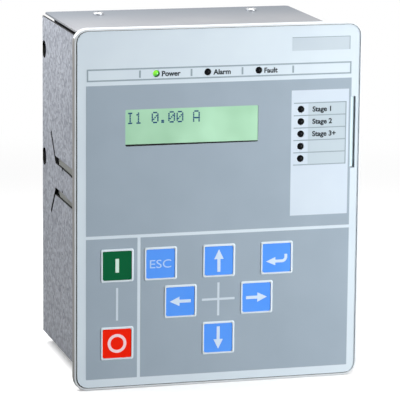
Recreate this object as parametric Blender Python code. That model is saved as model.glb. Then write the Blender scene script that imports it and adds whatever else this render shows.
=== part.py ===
"""Numerical protection relay for flush mounting in a switchgear door.

A moulded front frame carries a membrane overlay, eight keys, eight lamps and a small display. Its
collar slides into a galvanised sheet case: one U-shaped wrap with a spring tongue lanced out of each
side, closed by a top and a bottom cover. Two boards stand along the sides of the case and carry the
current transformers, the supply and the rear terminals.

X runs to the right as seen from the front, Y runs from the front towards the rear terminals and Z is
up. The origin is on the surface that the relay stands on, under the middle of its box. Sizes are in
metres. Every piece is modelled from the middle of the overlay's front face, where the empty "relay"
holds it: "depth" means the distance behind that face.
"""

import math

import bmesh
import bpy
from mathutils import Vector

# Clearances
SEAT_GAP = 0.0003
RUNNING_GAP = 0.0002
BOLT_GAP = 0.0003
HEAD_GAP = 0.0001
EMBED = 0.0003
CUT_MARGIN = 0.001

# Front frame
FRAME_WIDTH = 0.1305
FRAME_HEIGHT = 0.1605
FRAME_CORNER = 0.006
FLANGE_DEPTH = 0.0032
RIM_WIDTH = 0.00095
RIM_RISE = 0.0004
RIM_ROUND = 0.0005
BACK_CHAMFER = 0.0003
GROOVE_WIDTH = 0.00065
COLLAR_DEPTH = 0.027
COLLAR_WALL = 0.0018
COLLAR_CORNER = 0.002
LUG_LENGTH = 0.012
LUG_WIDTH = 0.003
LUG_RISE = 0.0008
LUG_DEPTH = 0.013
LUG_HEIGHT = 0.045
GUARD_DEPTH = 0.0616
GUARD_MARGIN = 0.0015
GUARD_CHAMFER = 0.003
GUARD_STEP = 0.0002
BOSS_RADIUS = 0.0035
BOSS_FROM_WALL = 0.0067
PIN_RADIUS = 0.0014
PIN_RISE = 0.0012

# Membrane overlay
OVERLAY_THICKNESS = 0.0006
RIDGE_RISE = 0.00035
RIDGE_WIDTH = 0.0008
RIDGE_SLOPE = 0.0003
RIDGE_CORNER = 0.0009
WINDOW_WIDTH = 0.0600
WINDOW_HEIGHT = 0.0162
WINDOW_CORNER = 0.0006
WINDOW_RECESS = 0.0004
WINDOW_THICKNESS = 0.0014

# Label insert, slid in from the right-hand edge
INSERT_THICKNESS = 0.0004
INSERT_FROM_LAMPS = 0.0006
INSERT_MARGIN = 0.0047
SLOT_WIDTH = 0.0023
SLOT_FROM_EDGE = 0.00105
SLOT_ROOM = 0.0007
SLOT_RELIEF_WIDTH = 0.0013
SLOT_RELIEF_DEPTH = 0.0027

# Keys: an arrow cross on the right, the two breaker keys on the left
KEY_CORNER = 0.0005
KEY_ROUND = 0.0004
KEY_RISE = 0.0001
KEY_TRAVEL = 0.0005
KEY_LIP = 0.0006
KEY_LIP_THICKNESS = 0.001
PLUNGER_SIZE = 0.004
PLUNGER_LENGTH = 0.0011

# Push switches behind the keys
SWITCH_SIZE = 0.0062
SWITCH_CORNER = 0.0006
SWITCH_BODY = 0.0033
SWITCH_BUTTON_RADIUS = 0.0017
SWITCH_OVERTRAVEL = 0.0001

# Lamps
LAMP_RADIUS = 0.0015
LAMP_RISE = 0.0004
LAMP_BODY = 0.0044
LAMP_RIM_RADIUS = 0.00195
LAMP_RIM = 0.001
LAMP_SPACER_RADIUS = 0.0023
STATUS_LAMP_COUNT = 3
ALARM_LAMP_COUNT = 5
ALARM_LAMP_PITCH = 0.00552

# Places on the overlay, as shares of its width and height from its middle, and the keys' size as a
# share of its height
BREAKER_KEYS_ACROSS = -0.3598
ARROW_KEYS_ACROSS = 0.0031
ARROW_KEYS_UP = -0.2670
ARROW_STEP_ACROSS = 0.1375
ARROW_STEP_UP = 0.1113
CORNER_STEP_ACROSS = 0.2090
STATUS_LAMPS_ACROSS = -0.2247
STATUS_STEP_ACROSS = 0.1819
STATUS_LAMPS_UP = 0.3808
ALARM_LAMPS_ACROSS = 0.2930
ALARM_LAMPS_UP = 0.2664
WINDOW_ACROSS = -0.0966
WINDOW_UP = 0.2311
KEY_SHARE = 0.08074

# Display behind the window
GLASS_BORDER = 0.0025
GLASS_THICKNESS = 0.0028
HOLDER_WALL = 0.0012
BOARD_THICKNESS = 0.0016
DISPLAY_BOARD_DEPTH = 0.0103

# Sheet case
FLANGE_SIDE = 0.00555
FLANGE_TOP = 0.0045
SHEET = 0.001
INNER_BEND = 0.0006
COVER_SHEET = 0.0008
COVER_INSET = 0.0014
COVER_LIFT = 0.0007
COVER_CORNER = 0.0015
REAR_FLANGE_LENGTH = 0.018
CORNER_RELIEF = 0.0048
RELIEF_HEIGHT = 0.0034
COVER_SCREW_X = 0.0364
COVER_SCREW_FROM_REAR = 0.0142

# Spring tongue lanced out of each side, which snaps behind the door panel
TONGUE_HEIGHT = 0.0048
TONGUE_HALF_WIDTH = 0.0056
TONGUE_SLOT = 0.0034
TONGUE_TIP_DEPTH = 0.0124
TONGUE_ROOT_DEPTH = 0.0603
TONGUE_SPRING = 0.0012
TONGUE_FOLDS = 4
FLARE_LENGTH = 0.0147
FLARE_ANGLE = math.radians(51)
FLARE_SLIT = 0.0019
NICK_DEPTH = 0.0476
NICK_WIDTH = 0.0016
NICK_CUT = 0.0011
SIDE_HOLE_RADIUS = 0.0041
SIDE_HOLE_FROM_REAR = 0.0052
SIDE_HOLE_FROM_TOP = 0.01495
SIDE_HOLE_PITCH = 0.0499

# Gasket on the back of the flange
GASKET_THICKNESS = 0.0012
GASKET_EDGE = 0.0012
GASKET_CASE_GAP = 0.0004

# Cover screws
SCREW_RADIUS = 0.00125
SCREW_LENGTH = 0.006
SCREW_HEAD_RADIUS = 0.0024
SCREW_HEAD_HEIGHT = 0.0013
SCREW_HEAD_DOME = 0.00065
RECESS_LENGTH = 0.0027
RECESS_WIDTH = 0.0007
RECESS_DEPTH = 0.0008

# Main and supply boards, standing on swaged pins along the two sides
SIDE_BOARD_STANDOFF = 0.0057
SIDE_BOARD_LENGTH = 0.0505
SIDE_BOARD_FROM_COLLAR = 0.004
SIDE_BOARD_FROM_REAR = 0.0097
SIDE_BOARD_FROM_COVER = 0.006
STANDOFF_RADIUS = 0.003
STANDOFF_FROM_END = 0.006
STANDOFF_FROM_EDGE = 0.0035

# Components on the boards
TRANSFORMER_RADIUS = 0.013
TRANSFORMER_BORE = 0.0045
TRANSFORMER_THICKNESS = 0.016
TRANSFORMER_ROUND = 0.002
TRANSFORMER_COUNT = 4
RELAY_HEIGHT = 0.0157
RELAY_WIDTH = 0.0127
RELAY_LENGTH = 0.029
RELAY_EDGE = 0.001
RELAY_COUNT = 3
CORE_HEIGHT = 0.026
CORE_WIDTH = 0.024
CORE_LENGTH = 0.022
COIL_HEIGHT = 0.020
COIL_WIDTH = 0.020
COIL_LENGTH = 0.030
COIL_CORNER = 0.004
CAPACITOR_RADIUS = 0.008
CAPACITOR_LENGTH = 0.025
CAPACITOR_EDGE = 0.0008
CAPACITOR_GROOVE = 0.001
CAPACITOR_GROOVE_HEIGHT = 0.0032
CAPACITOR_CURL = 0.0016
CAPACITOR_VENT = 0.0006
CAPACITOR_COUNT = 2
COMPONENT_SPACING = 0.003
CABLE_WIDTH = 0.022
CABLE_THICKNESS = 0.0012
CABLE_Z = -0.034
CABLE_PLUG_LENGTH = 0.007
CABLE_PLUG_DEPTH = 0.005
CABLE_BEND = 0.003

# Rear terminals
TERMINAL_PITCH = 0.010
TERMINAL_WAYS = 2 * TRANSFORMER_COUNT
TERMINAL_WIDTH = 0.022
TERMINAL_OVERLAP = 0.006
TERMINAL_PROJECTION = 0.0125
TERMINAL_WALL = 0.0018
TERMINAL_WELL_DEPTH = 0.0075
TERMINAL_SCREW_RADIUS = 0.0030
TERMINAL_SCREW_HEIGHT = 0.0022
TERMINAL_SCREW_CHAMFER = 0.0007
CONNECTOR_PITCH = 0.00508
CONNECTOR_WIDTH = 0.0125
CONNECTOR_WALL = 0.0012
CONNECTOR_PROJECTION = 0.002
CONNECTOR_SOCKET = 0.009
PLUG_PROJECTION = 0.0105
PLUG_ENTRY = 0.0031
PLUG_ENTRY_DEPTH = 0.007
PLUG_SCREW_RADIUS = 0.0014
OUTPUT_WAYS = 12
SUPPLY_WAYS = 3
EARTH_FROM_BOTTOM = 0.013
EARTH_X = 0.0
EARTH_RADIUS = 0.0025
EARTH_LENGTH = 0.0105
EARTH_CHAMFER = 0.0006
EARTH_HEAD_RADIUS = 0.0042
EARTH_HEAD_THICKNESS = 0.0012
NUT_FLATS = 0.008
NUT_THICKNESS = 0.004

# Facets
CORNER_STEPS = 5
SMALL_CORNER_STEPS = 2
ROUND_STEPS = 16
PIN_STEPS = 12
RING_STEPS = 16
EDGE_STEPS = 3
CABLE_STEPS = 6
SMALL_HOLE_STEPS = 10
SMALLEST_CORNER = 1e-5
WELD_DISTANCE = 1e-7

# Front sizes that follow from the ones above
POCKET_DEPTH = OVERLAY_THICKNESS + SEAT_GAP
OVERLAY_WIDTH = FRAME_WIDTH - 2 * (RIM_WIDTH + GROOVE_WIDTH)
OVERLAY_HEIGHT = FRAME_HEIGHT - 2 * (RIM_WIDTH + GROOVE_WIDTH)
OVERLAY_CORNER = FRAME_CORNER - RIM_WIDTH - GROOVE_WIDTH
KEY_SIZE = KEY_SHARE * OVERLAY_HEIGHT
KEY_OPENING = KEY_SIZE + 2 * RUNNING_GAP
LIP_DEPTH = FLANGE_DEPTH + SEAT_GAP
PLUNGER_DEPTH = LIP_DEPTH + KEY_LIP_THICKNESS + PLUNGER_LENGTH
SWITCH_DEPTH = PLUNGER_DEPTH + KEY_TRAVEL + SWITCH_OVERTRAVEL
SWITCH_BACK = DISPLAY_BOARD_DEPTH - SEAT_GAP
DISPLAY_BOARD_BACK = DISPLAY_BOARD_DEPTH + BOARD_THICKNESS
WINDOW_X = WINDOW_ACROSS * OVERLAY_WIDTH
WINDOW_Z = WINDOW_UP * OVERLAY_HEIGHT
ALARM_LAMP_X = ALARM_LAMPS_ACROSS * OVERLAY_WIDTH
ALARM_LAMP_FIRST_Z = ALARM_LAMPS_UP * OVERLAY_HEIGHT
ALARM_LAMP_LAST_Z = ALARM_LAMP_FIRST_Z - (ALARM_LAMP_COUNT - 1) * ALARM_LAMP_PITCH
SLOT_RIGHT = OVERLAY_WIDTH / 2 - SLOT_FROM_EDGE
SLOT_LEFT = SLOT_RIGHT - SLOT_WIDTH
INSERT_LEFT = ALARM_LAMP_X + LAMP_RADIUS + INSERT_FROM_LAMPS
INSERT_RIGHT = SLOT_RIGHT - SLOT_ROOM
INSERT_TOP = ALARM_LAMP_FIRST_Z + INSERT_MARGIN
INSERT_BOTTOM = ALARM_LAMP_LAST_Z - INSERT_MARGIN

# Case sizes that follow
CASE_WIDTH = FRAME_WIDTH - 2 * FLANGE_SIDE
CASE_HEIGHT = FRAME_HEIGHT - 2 * FLANGE_TOP
CASE_FRONT = FLANGE_DEPTH + SEAT_GAP
OUTER_BEND = INNER_BEND + SHEET
INSIDE_X = CASE_WIDTH / 2 - SHEET
INSIDE_Z = CASE_HEIGHT / 2 - COVER_SHEET
SIDE_TOP = INSIDE_Z - COVER_LIFT
COLLAR_X = INSIDE_X - SEAT_GAP
COLLAR_Z = INSIDE_Z - SEAT_GAP
UPPER_BOSS_X = COLLAR_X - COLLAR_WALL - BOSS_FROM_WALL
LOWER_BOSS_X = UPPER_BOSS_X / 2
BOSS_HEIGHT = COLLAR_Z - COLLAR_WALL - BOSS_FROM_WALL
SIDE_BOARD_FRONT = COLLAR_DEPTH + SIDE_BOARD_FROM_COLLAR
SIDE_BOARD_REAR = SIDE_BOARD_FRONT + SIDE_BOARD_LENGTH
SIDE_BOARD_HALF_HEIGHT = INSIDE_Z - SIDE_BOARD_FROM_COVER
SIDE_BOARD_OUTER = INSIDE_X - SIDE_BOARD_STANDOFF - SEAT_GAP
SIDE_BOARD_INNER = SIDE_BOARD_OUTER - BOARD_THICKNESS
COMPONENT_X = SIDE_BOARD_INNER - SEAT_GAP
CASE_REAR = SIDE_BOARD_REAR + SIDE_BOARD_FROM_REAR
STANDOFF_DEPTHS = (SIDE_BOARD_FRONT + STANDOFF_FROM_END, SIDE_BOARD_REAR - STANDOFF_FROM_END)
STANDOFF_HEIGHT = SIDE_BOARD_HALF_HEIGHT - STANDOFF_FROM_EDGE
SIDE_HOLE_HEIGHTS = (
    SIDE_TOP - SIDE_HOLE_FROM_TOP,
    SIDE_TOP - SIDE_HOLE_FROM_TOP - SIDE_HOLE_PITCH,
)

# Places on the boards and in the rear wall that follow
TERMINAL_INNER_DEPTH = SIDE_BOARD_REAR - TERMINAL_OVERLAP
TERMINAL_REAR = CASE_REAR + TERMINAL_PROJECTION
CONNECTOR_REAR = CASE_REAR + CONNECTOR_PROJECTION
PLUG_REAR = CONNECTOR_REAR + PLUG_PROJECTION
EARTH_REAR = CASE_REAR + EARTH_LENGTH
EARTH_Z = EARTH_FROM_BOTTOM - INSIDE_Z
PIN_CLEARANCE = PIN_RADIUS + COMPONENT_SPACING / 2
OUTPUT_HALF = OUTPUT_WAYS * CONNECTOR_PITCH / 2 + CONNECTOR_WALL + SEAT_GAP
SUPPLY_HALF = SUPPLY_WAYS * CONNECTOR_PITCH / 2 + CONNECTOR_WALL + SEAT_GAP
OUTPUT_Z = STANDOFF_HEIGHT - PIN_CLEARANCE - OUTPUT_HALF
SUPPLY_Z = PIN_CLEARANCE + SUPPLY_HALF - STANDOFF_HEIGHT
TRANSFORMER_DEPTH = TERMINAL_INNER_DEPTH - COMPONENT_SPACING / 2 - TRANSFORMER_RADIUS
TRANSFORMER_PITCH = 2 * SIDE_BOARD_HALF_HEIGHT / TRANSFORMER_COUNT
RELAY_DEPTH = TERMINAL_INNER_DEPTH - COMPONENT_SPACING - RELAY_WIDTH / 2
RELAY_FIRST_Z = STANDOFF_HEIGHT - COMPONENT_SPACING - RELAY_LENGTH / 2
RELAY_PITCH = RELAY_LENGTH + COMPONENT_SPACING
CORE_DEPTH = RELAY_DEPTH - RELAY_WIDTH / 2 - COMPONENT_SPACING / 2 - CORE_WIDTH / 2
CORE_Z = PIN_CLEARANCE + COIL_LENGTH / 2 - STANDOFF_HEIGHT
CAPACITOR_DEPTH = CORE_DEPTH
CAPACITOR_FIRST_Z = CORE_Z + COIL_LENGTH / 2 + COMPONENT_SPACING + CAPACITOR_RADIUS
CAPACITOR_PITCH = 2 * CAPACITOR_RADIUS + COMPONENT_SPACING
CABLE_BOARD_DEPTH = SIDE_BOARD_FRONT + CABLE_PLUG_LENGTH / 2 + SEAT_GAP
CABLE_START_X = CABLE_PLUG_DEPTH + CABLE_BEND + CABLE_THICKNESS - COMPONENT_X
OVERALL_DEPTH = RIM_RISE + max(TERMINAL_REAR, PLUG_REAR, EARTH_REAR)


def on_overlay(across, up):
    """A place on the overlay from its shares of the width and the height."""
    return (across * OVERLAY_WIDTH, up * OVERLAY_HEIGHT)


UPPER_ROW = ARROW_KEYS_UP + ARROW_STEP_UP
LOWER_ROW = ARROW_KEYS_UP - ARROW_STEP_UP
KEYS = {
    "key_on": on_overlay(BREAKER_KEYS_ACROSS, UPPER_ROW),
    "key_off": on_overlay(BREAKER_KEYS_ACROSS, LOWER_ROW),
    "key_escape": on_overlay(ARROW_KEYS_ACROSS - CORNER_STEP_ACROSS, UPPER_ROW),
    "key_up": on_overlay(ARROW_KEYS_ACROSS, UPPER_ROW),
    "key_enter": on_overlay(ARROW_KEYS_ACROSS + CORNER_STEP_ACROSS, UPPER_ROW),
    "key_left": on_overlay(ARROW_KEYS_ACROSS - ARROW_STEP_ACROSS, ARROW_KEYS_UP),
    "key_right": on_overlay(ARROW_KEYS_ACROSS + ARROW_STEP_ACROSS, ARROW_KEYS_UP),
    "key_down": on_overlay(ARROW_KEYS_ACROSS, LOWER_ROW),
}
STATUS_LAMPS = [
    on_overlay(STATUS_LAMPS_ACROSS + i * STATUS_STEP_ACROSS, STATUS_LAMPS_UP)
    for i in range(STATUS_LAMP_COUNT)
]
ALARM_LAMPS = [
    (ALARM_LAMP_X, ALARM_LAMP_FIRST_Z - i * ALARM_LAMP_PITCH) for i in range(ALARM_LAMP_COUNT)
]
BOSSES = [
    (-UPPER_BOSS_X, BOSS_HEIGHT),
    (UPPER_BOSS_X, BOSS_HEIGHT),
    (-LOWER_BOSS_X, -BOSS_HEIGHT),
    (LOWER_BOSS_X, -BOSS_HEIGHT),
]


# Materials


def material(name, colour, roughness, metallic=0.0, alpha=1.0):
    """A Principled BSDF with one linear colour."""
    made = bpy.data.materials.new(name)
    made.use_nodes = True
    shader = made.node_tree.nodes["Principled BSDF"]
    shader.inputs["Base Color"].default_value = (*colour, 1.0)
    shader.inputs["Roughness"].default_value = roughness
    shader.inputs["Metallic"].default_value = metallic
    shader.inputs["Alpha"].default_value = alpha
    made.diffuse_color = (*colour, alpha)
    made.roughness = roughness
    made.metallic = metallic
    return made


def make_materials():
    """Every finish in the relay, by a short name."""
    return {
        "frame": material("moulded_frame", (0.62, 0.64, 0.64), 0.45),
        "film": material("printed_film", (0.61, 0.73, 0.80), 0.35),
        "clear": material("clear_window", (0.80, 0.88, 0.85), 0.05, alpha=0.35),
        "glass": material("display_glass", (0.42, 0.72, 0.48), 0.15),
        "card": material("label_card", (0.80, 0.90, 0.94), 0.6),
        "blue_key": material("blue_key", (0.07, 0.29, 0.95), 0.35),
        "green_key": material("green_key", (0.01, 0.13, 0.04), 0.35),
        "red_key": material("red_key", (0.83, 0.03, 0.01), 0.35),
        "green_lamp": material("green_lamp", (0.15, 0.65, 0.03), 0.15),
        "dark_lamp": material("dark_lamp", (0.02, 0.02, 0.03), 0.2),
        "zinc": material("spangled_zinc", (0.39, 0.41, 0.44), 0.4, 0.85),
        "cover": material("zinc_aluminium_cover", (0.53, 0.53, 0.55), 0.4, 0.8),
        "rubber": material("foam_rubber", (0.03, 0.03, 0.03), 0.9),
        "board": material("epoxy_board", (0.02, 0.16, 0.07), 0.5),
        "resin": material("cast_resin", (0.03, 0.03, 0.035), 0.5),
        "relay": material("relay_cover", (0.75, 0.74, 0.70), 0.4),
        "ferrite": material("ferrite_core", (0.06, 0.06, 0.065), 0.6),
        "can": material("capacitor_sleeve", (0.02, 0.03, 0.08), 0.35),
        "cable": material("ribbon_cable", (0.45, 0.46, 0.47), 0.6),
        "terminal": material("terminal_nylon", (0.04, 0.04, 0.04), 0.5),
        "plug": material("plug_nylon", (0.03, 0.22, 0.06), 0.45),
        "steel": material("plated_steel", (0.62, 0.62, 0.64), 0.3, 1.0),
        "switch": material("switch_body", (0.05, 0.05, 0.05), 0.5),
    }


# Outlines


def rounded_rectangle(width, height, corner, centre=(0.0, 0.0), steps=CORNER_STEPS):
    """The outline of a rectangle with round corners, anticlockwise."""
    corner = max(min(corner, width / 2, height / 2), SMALLEST_CORNER)
    points = []
    for turn in range(4):
        sign_u = 1 if turn in (0, 3) else -1
        sign_v = 1 if turn in (0, 1) else -1
        middle_u = centre[0] + sign_u * (width / 2 - corner)
        middle_v = centre[1] + sign_v * (height / 2 - corner)
        for step in range(steps + 1):
            angle = math.pi / 2 * (turn + step / steps)
            points.append((middle_u + corner * math.cos(angle), middle_v + corner * math.sin(angle)))
    return points


def span(low_u, high_u, low_v, high_v):
    """The outline of a plain rectangle between two corners."""
    return [(low_u, low_v), (high_u, low_v), (high_u, high_v), (low_u, high_v)]


def circle(radius, centre, steps=ROUND_STEPS):
    """A round outline."""
    angles = [2 * math.pi * step / steps for step in range(steps)]
    return [(centre[0] + radius * math.cos(a), centre[1] + radius * math.sin(a)) for a in angles]


def arc(centre, radius, start, end, steps=EDGE_STEPS):
    """Points along an arc, angles in degrees."""
    angles = [math.radians(start + (end - start) * step / steps) for step in range(steps + 1)]
    return [(centre[0] + radius * math.cos(a), centre[1] + radius * math.sin(a)) for a in angles]


def rounded_edge(radius, steps):
    """(inset, depth) pairs that carry an outline round a quarter circle from a face to a side."""
    angles = [math.pi / 2 * step / steps for step in range(steps + 1)]
    return [(radius * (1 - math.sin(a)), radius * (1 - math.cos(a))) for a in angles]


# Solids


def placed(point, plane, level):
    """A 2-D point of an outline in space: (x, z) at a depth, (y, z) at an x, or (x, y) at a height."""
    u, v = point
    return {"front": (u, level, v), "side": (level, u, v), "top": (u, v, level)}[plane]


def add_prism(bm, outline, plane, start, end):
    """Extrudes an outline from one level of its plane to another."""
    base = bm.faces.new([bm.verts.new(placed(point, plane, start)) for point in outline])
    grown = bmesh.ops.extrude_face_region(bm, geom=[base])["geom"]
    moved = [item for item in grown if isinstance(item, bmesh.types.BMVert)]
    step = Vector(placed((0.0, 0.0), plane, end - start))
    bmesh.ops.translate(bm, vec=step, verts=moved)


def add_block(bm, low, high):
    """A plain block between two corners."""
    add_prism(bm, span(low[0], high[0], low[2], high[2]), "front", low[1], high[1])


def add_loft(bm, loops):
    """Joins outlines with the same number of points, one after another, and closes both ends."""
    rings = [[bm.verts.new(point) for point in loop] for loop in loops]
    bm.faces.new(rings[0])
    bm.faces.new(rings[-1])
    add_bands(bm, rings)


def add_bands(bm, rings, closed=False):
    """Faces between each ring and the next, and from the last to the first where it closes."""
    pairs = list(zip(rings, rings[1:]))
    if closed:
        pairs.append((rings[-1], rings[0]))
    for near, far in pairs:
        for i, corner in enumerate(near):
            after = (i + 1) % len(near)
            bm.faces.new((corner, near[after], far[after], far[i]))


def add_ring(bm, outer, inner, plane, start, end):
    """A prism with a hole: both outlines have the same number of points."""
    sections = [(outer, start), (outer, end), (inner, end), (inner, start)]
    rings = [[bm.verts.new(placed(p, plane, level)) for p in outline] for outline, level in sections]
    add_bands(bm, rings, closed=True)


def add_turned(bm, profile, axis, centre, steps=ROUND_STEPS, closed=False):
    """Spins (radius, distance along the axis) pairs round an axis through a centre."""
    across = {"X": Vector((0, 0, 1)), "Y": Vector((0, 0, 1)), "Z": Vector((1, 0, 0))}[axis]
    along = {"X": Vector((1, 0, 0)), "Y": Vector((0, 1, 0)), "Z": Vector((0, 0, 1))}[axis]
    start = Vector(centre)
    line = [bm.verts.new(start + across * radius + along * distance) for radius, distance in profile]
    edges = [bm.edges.new(pair) for pair in zip(line, line[1:])]
    if closed:
        edges.append(bm.edges.new((line[-1], line[0])))
    bmesh.ops.spin(
        bm,
        geom=line + edges,
        cent=start,
        axis=along,
        angle=2 * math.pi,
        steps=steps,
        use_merge=True,
    )
    bmesh.ops.remove_doubles(bm, verts=bm.verts, dist=WELD_DISTANCE)


def new_object(name, bm, finish=None, smooth=None, at=(0.0, 0.0, 0.0)):
    """An object from a bmesh, its faces turned outwards, held by the relay's empty."""
    bmesh.ops.recalc_face_normals(bm, faces=bm.faces)
    mesh = bpy.data.meshes.new(name)
    bm.to_mesh(mesh)
    bm.free()
    if smooth is not None:
        mesh.shade_smooth()
        mesh.set_sharp_from_angle(angle=math.radians(smooth))
    made = bpy.data.objects.new(name, mesh)
    bpy.context.scene.collection.objects.link(made)
    made.parent = bpy.data.objects["relay"]
    made.location = at
    if finish:
        mesh.materials.append(finish)
    return made


def helper(name, bm):
    """A cutter or an added shape that only a Boolean uses."""
    made = new_object(name, bm)
    made.hide_render = True
    made.display_type = "WIRE"
    return made


def boolean(target, other, operation):
    """Adds a Boolean with the exact solver."""
    modifier = target.modifiers.new(other.name, "BOOLEAN")
    modifier.operation = operation
    modifier.solver = "EXACT"
    modifier.object = other


def cut(target, bm, name):
    """Cuts a bmesh's shapes out of an object."""
    boolean(target, helper(f"{target.name}_{name}", bm), "DIFFERENCE")


def join(target, bm, name):
    """Adds a bmesh's shapes to an object."""
    boolean(target, helper(f"{target.name}_{name}", bm), "UNION")


def applied(target):
    """Replaces an object's mesh with the result of its modifiers."""
    bpy.context.view_layer.update()
    graph = bpy.context.evaluated_depsgraph_get()
    mesh = bpy.data.meshes.new_from_object(target.evaluated_get(graph))
    target.modifiers.clear()
    target.data = mesh


def inset_loops(width, height, corner, steps, sections, centre=(0.0, 0.0)):
    """Rounded rectangles in the front plane, one for each (inset, depth)."""
    loops = []
    for inset, depth in sections:
        size = (width - 2 * inset, height - 2 * inset)
        outline = rounded_rectangle(*size, corner - inset, centre, steps)
        loops.append([placed(point, "front", depth) for point in outline])
    return loops


# Front assembly


def add_key_openings(bm, start, end):
    """A square hole for each key, right through from one depth to the other."""
    for x, z in KEYS.values():
        outline = rounded_rectangle(
            KEY_OPENING, KEY_OPENING, KEY_CORNER + RUNNING_GAP, (x, z), SMALL_CORNER_STEPS
        )
        add_prism(bm, outline, "front", start, end)


def add_lamp_holes(bm, start, end):
    """A round hole for each lamp."""
    for x, z in STATUS_LAMPS + ALARM_LAMPS:
        add_prism(bm, circle(LAMP_RADIUS + RUNNING_GAP, (x, z)), "front", start, end)


def add_window_opening(bm, width, height, start, end):
    """The display's opening."""
    outline = rounded_rectangle(
        width, height, WINDOW_CORNER, (WINDOW_X, WINDOW_Z), SMALL_CORNER_STEPS
    )
    add_prism(bm, outline, "front", start, end)


def insert_pocket(grow):
    """The outline of the label insert, grown by a clearance, up to the end of its slot."""
    return span(
        INSERT_LEFT - grow,
        SLOT_RIGHT,
        INSERT_BOTTOM - grow,
        INSERT_TOP + grow,
    )


def board_pin(bm, x, z):
    """A boss from the frame to the display board, with a pin that is staked over behind it."""
    shoulder = DISPLAY_BOARD_DEPTH - SEAT_GAP
    tip = DISPLAY_BOARD_BACK + PIN_RISE
    start = FLANGE_DEPTH - EMBED
    profile = [(0, start), (BOSS_RADIUS, start), (BOSS_RADIUS, shoulder)]
    profile += [(PIN_RADIUS, shoulder), (PIN_RADIUS, tip), (0, tip)]
    add_turned(bm, profile, "Y", (x, 0, z), PIN_STEPS)


def snap_lug(bm, side, z):
    """A wedge on the collar that snaps into a window of the case's side."""
    root = side * (COLLAR_X - EMBED)
    crest = side * (COLLAR_X + LUG_RISE)
    face = side * COLLAR_X
    outline = [
        (root, LUG_DEPTH - LUG_WIDTH / 2),
        (crest, LUG_DEPTH - LUG_WIDTH / 2),
        (crest, LUG_DEPTH - LUG_WIDTH / 4),
        (face, LUG_DEPTH + LUG_WIDTH / 2),
        (root, LUG_DEPTH + LUG_WIDTH / 2),
    ]
    add_prism(bm, outline, "top", z - LUG_LENGTH / 2, z + LUG_LENGTH / 2)


def tongue_guard(bm, side):
    """A cheek on the collar that keeps a pressed tongue away from the board behind it."""
    half = TONGUE_HALF_WIDTH + TONGUE_SLOT + GUARD_MARGIN
    low, high = TONGUE_HEIGHT - half, TONGUE_HEIGHT + half
    root, shoulder = COLLAR_DEPTH - EMBED, GUARD_DEPTH - GUARD_CHAMFER
    outline = [(root, low), (shoulder, low), (GUARD_DEPTH, low + GUARD_CHAMFER)]
    outline += [(GUARD_DEPTH, high - GUARD_CHAMFER), (shoulder, high), (root, high)]
    inner, outer = COLLAR_X - COLLAR_WALL + GUARD_STEP, COLLAR_X - GUARD_STEP
    add_prism(bm, outline, "side", side * inner, side * outer)


def make_front_frame(finish):
    """The moulded frame: a rim round the overlay, the face plate, and a collar into the case."""
    front = [(inset, depth - RIM_RISE) for inset, depth in rounded_edge(RIM_ROUND, EDGE_STEPS)]
    back = [(0.0, FLANGE_DEPTH - BACK_CHAMFER), (BACK_CHAMFER, FLANGE_DEPTH)]
    bm = bmesh.new()
    add_loft(bm, inset_loops(FRAME_WIDTH, FRAME_HEIGHT, FRAME_CORNER, CORNER_STEPS, front + back))
    frame = new_object("front_frame", bm, finish)

    bm = bmesh.new()
    outer = rounded_rectangle(2 * COLLAR_X, 2 * COLLAR_Z, COLLAR_CORNER, steps=SMALL_CORNER_STEPS)
    inner = rounded_rectangle(
        2 * (COLLAR_X - COLLAR_WALL),
        2 * (COLLAR_Z - COLLAR_WALL),
        COLLAR_CORNER / 2,
        steps=SMALL_CORNER_STEPS,
    )
    add_ring(bm, outer, inner, "front", FLANGE_DEPTH - EMBED, COLLAR_DEPTH)
    join(frame, bm, "collar")

    bm = bmesh.new()
    for side in (-1, 1):
        for z in (-LUG_HEIGHT, LUG_HEIGHT):
            snap_lug(bm, side, z)
    join(frame, bm, "lugs")

    bm = bmesh.new()
    for side in (-1, 1):
        tongue_guard(bm, side)
    join(frame, bm, "tongue_guards")

    bm = bmesh.new()
    for x, z in BOSSES:
        board_pin(bm, x, z)
    join(frame, bm, "bosses")

    bm = bmesh.new()
    width = OVERLAY_WIDTH + 2 * GROOVE_WIDTH
    height = OVERLAY_HEIGHT + 2 * GROOVE_WIDTH
    pocket = rounded_rectangle(width, height, OVERLAY_CORNER + GROOVE_WIDTH)
    add_prism(bm, pocket, "front", -RIM_RISE - CUT_MARGIN, POCKET_DEPTH)
    cut(frame, bm, "overlay_pocket")

    bm = bmesh.new()
    start, end = POCKET_DEPTH - CUT_MARGIN, FLANGE_DEPTH + CUT_MARGIN
    add_key_openings(bm, start, end)
    add_lamp_holes(bm, start, end)
    clearance = 2 * SEAT_GAP
    add_window_opening(bm, WINDOW_WIDTH + clearance, WINDOW_HEIGHT + clearance, start, end)
    floor = POCKET_DEPTH + INSERT_THICKNESS + SEAT_GAP
    add_prism(bm, insert_pocket(SEAT_GAP), "front", start, floor)
    cut(frame, bm, "openings")

    bm = bmesh.new()
    left = SLOT_RIGHT - SLOT_RELIEF_WIDTH
    relief = span(left, SLOT_RIGHT, INSERT_BOTTOM - SEAT_GAP, INSERT_TOP + SEAT_GAP)
    add_prism(bm, relief, "front", start, SLOT_RELIEF_DEPTH)
    cut(frame, bm, "slot_relief")
    return frame


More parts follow.
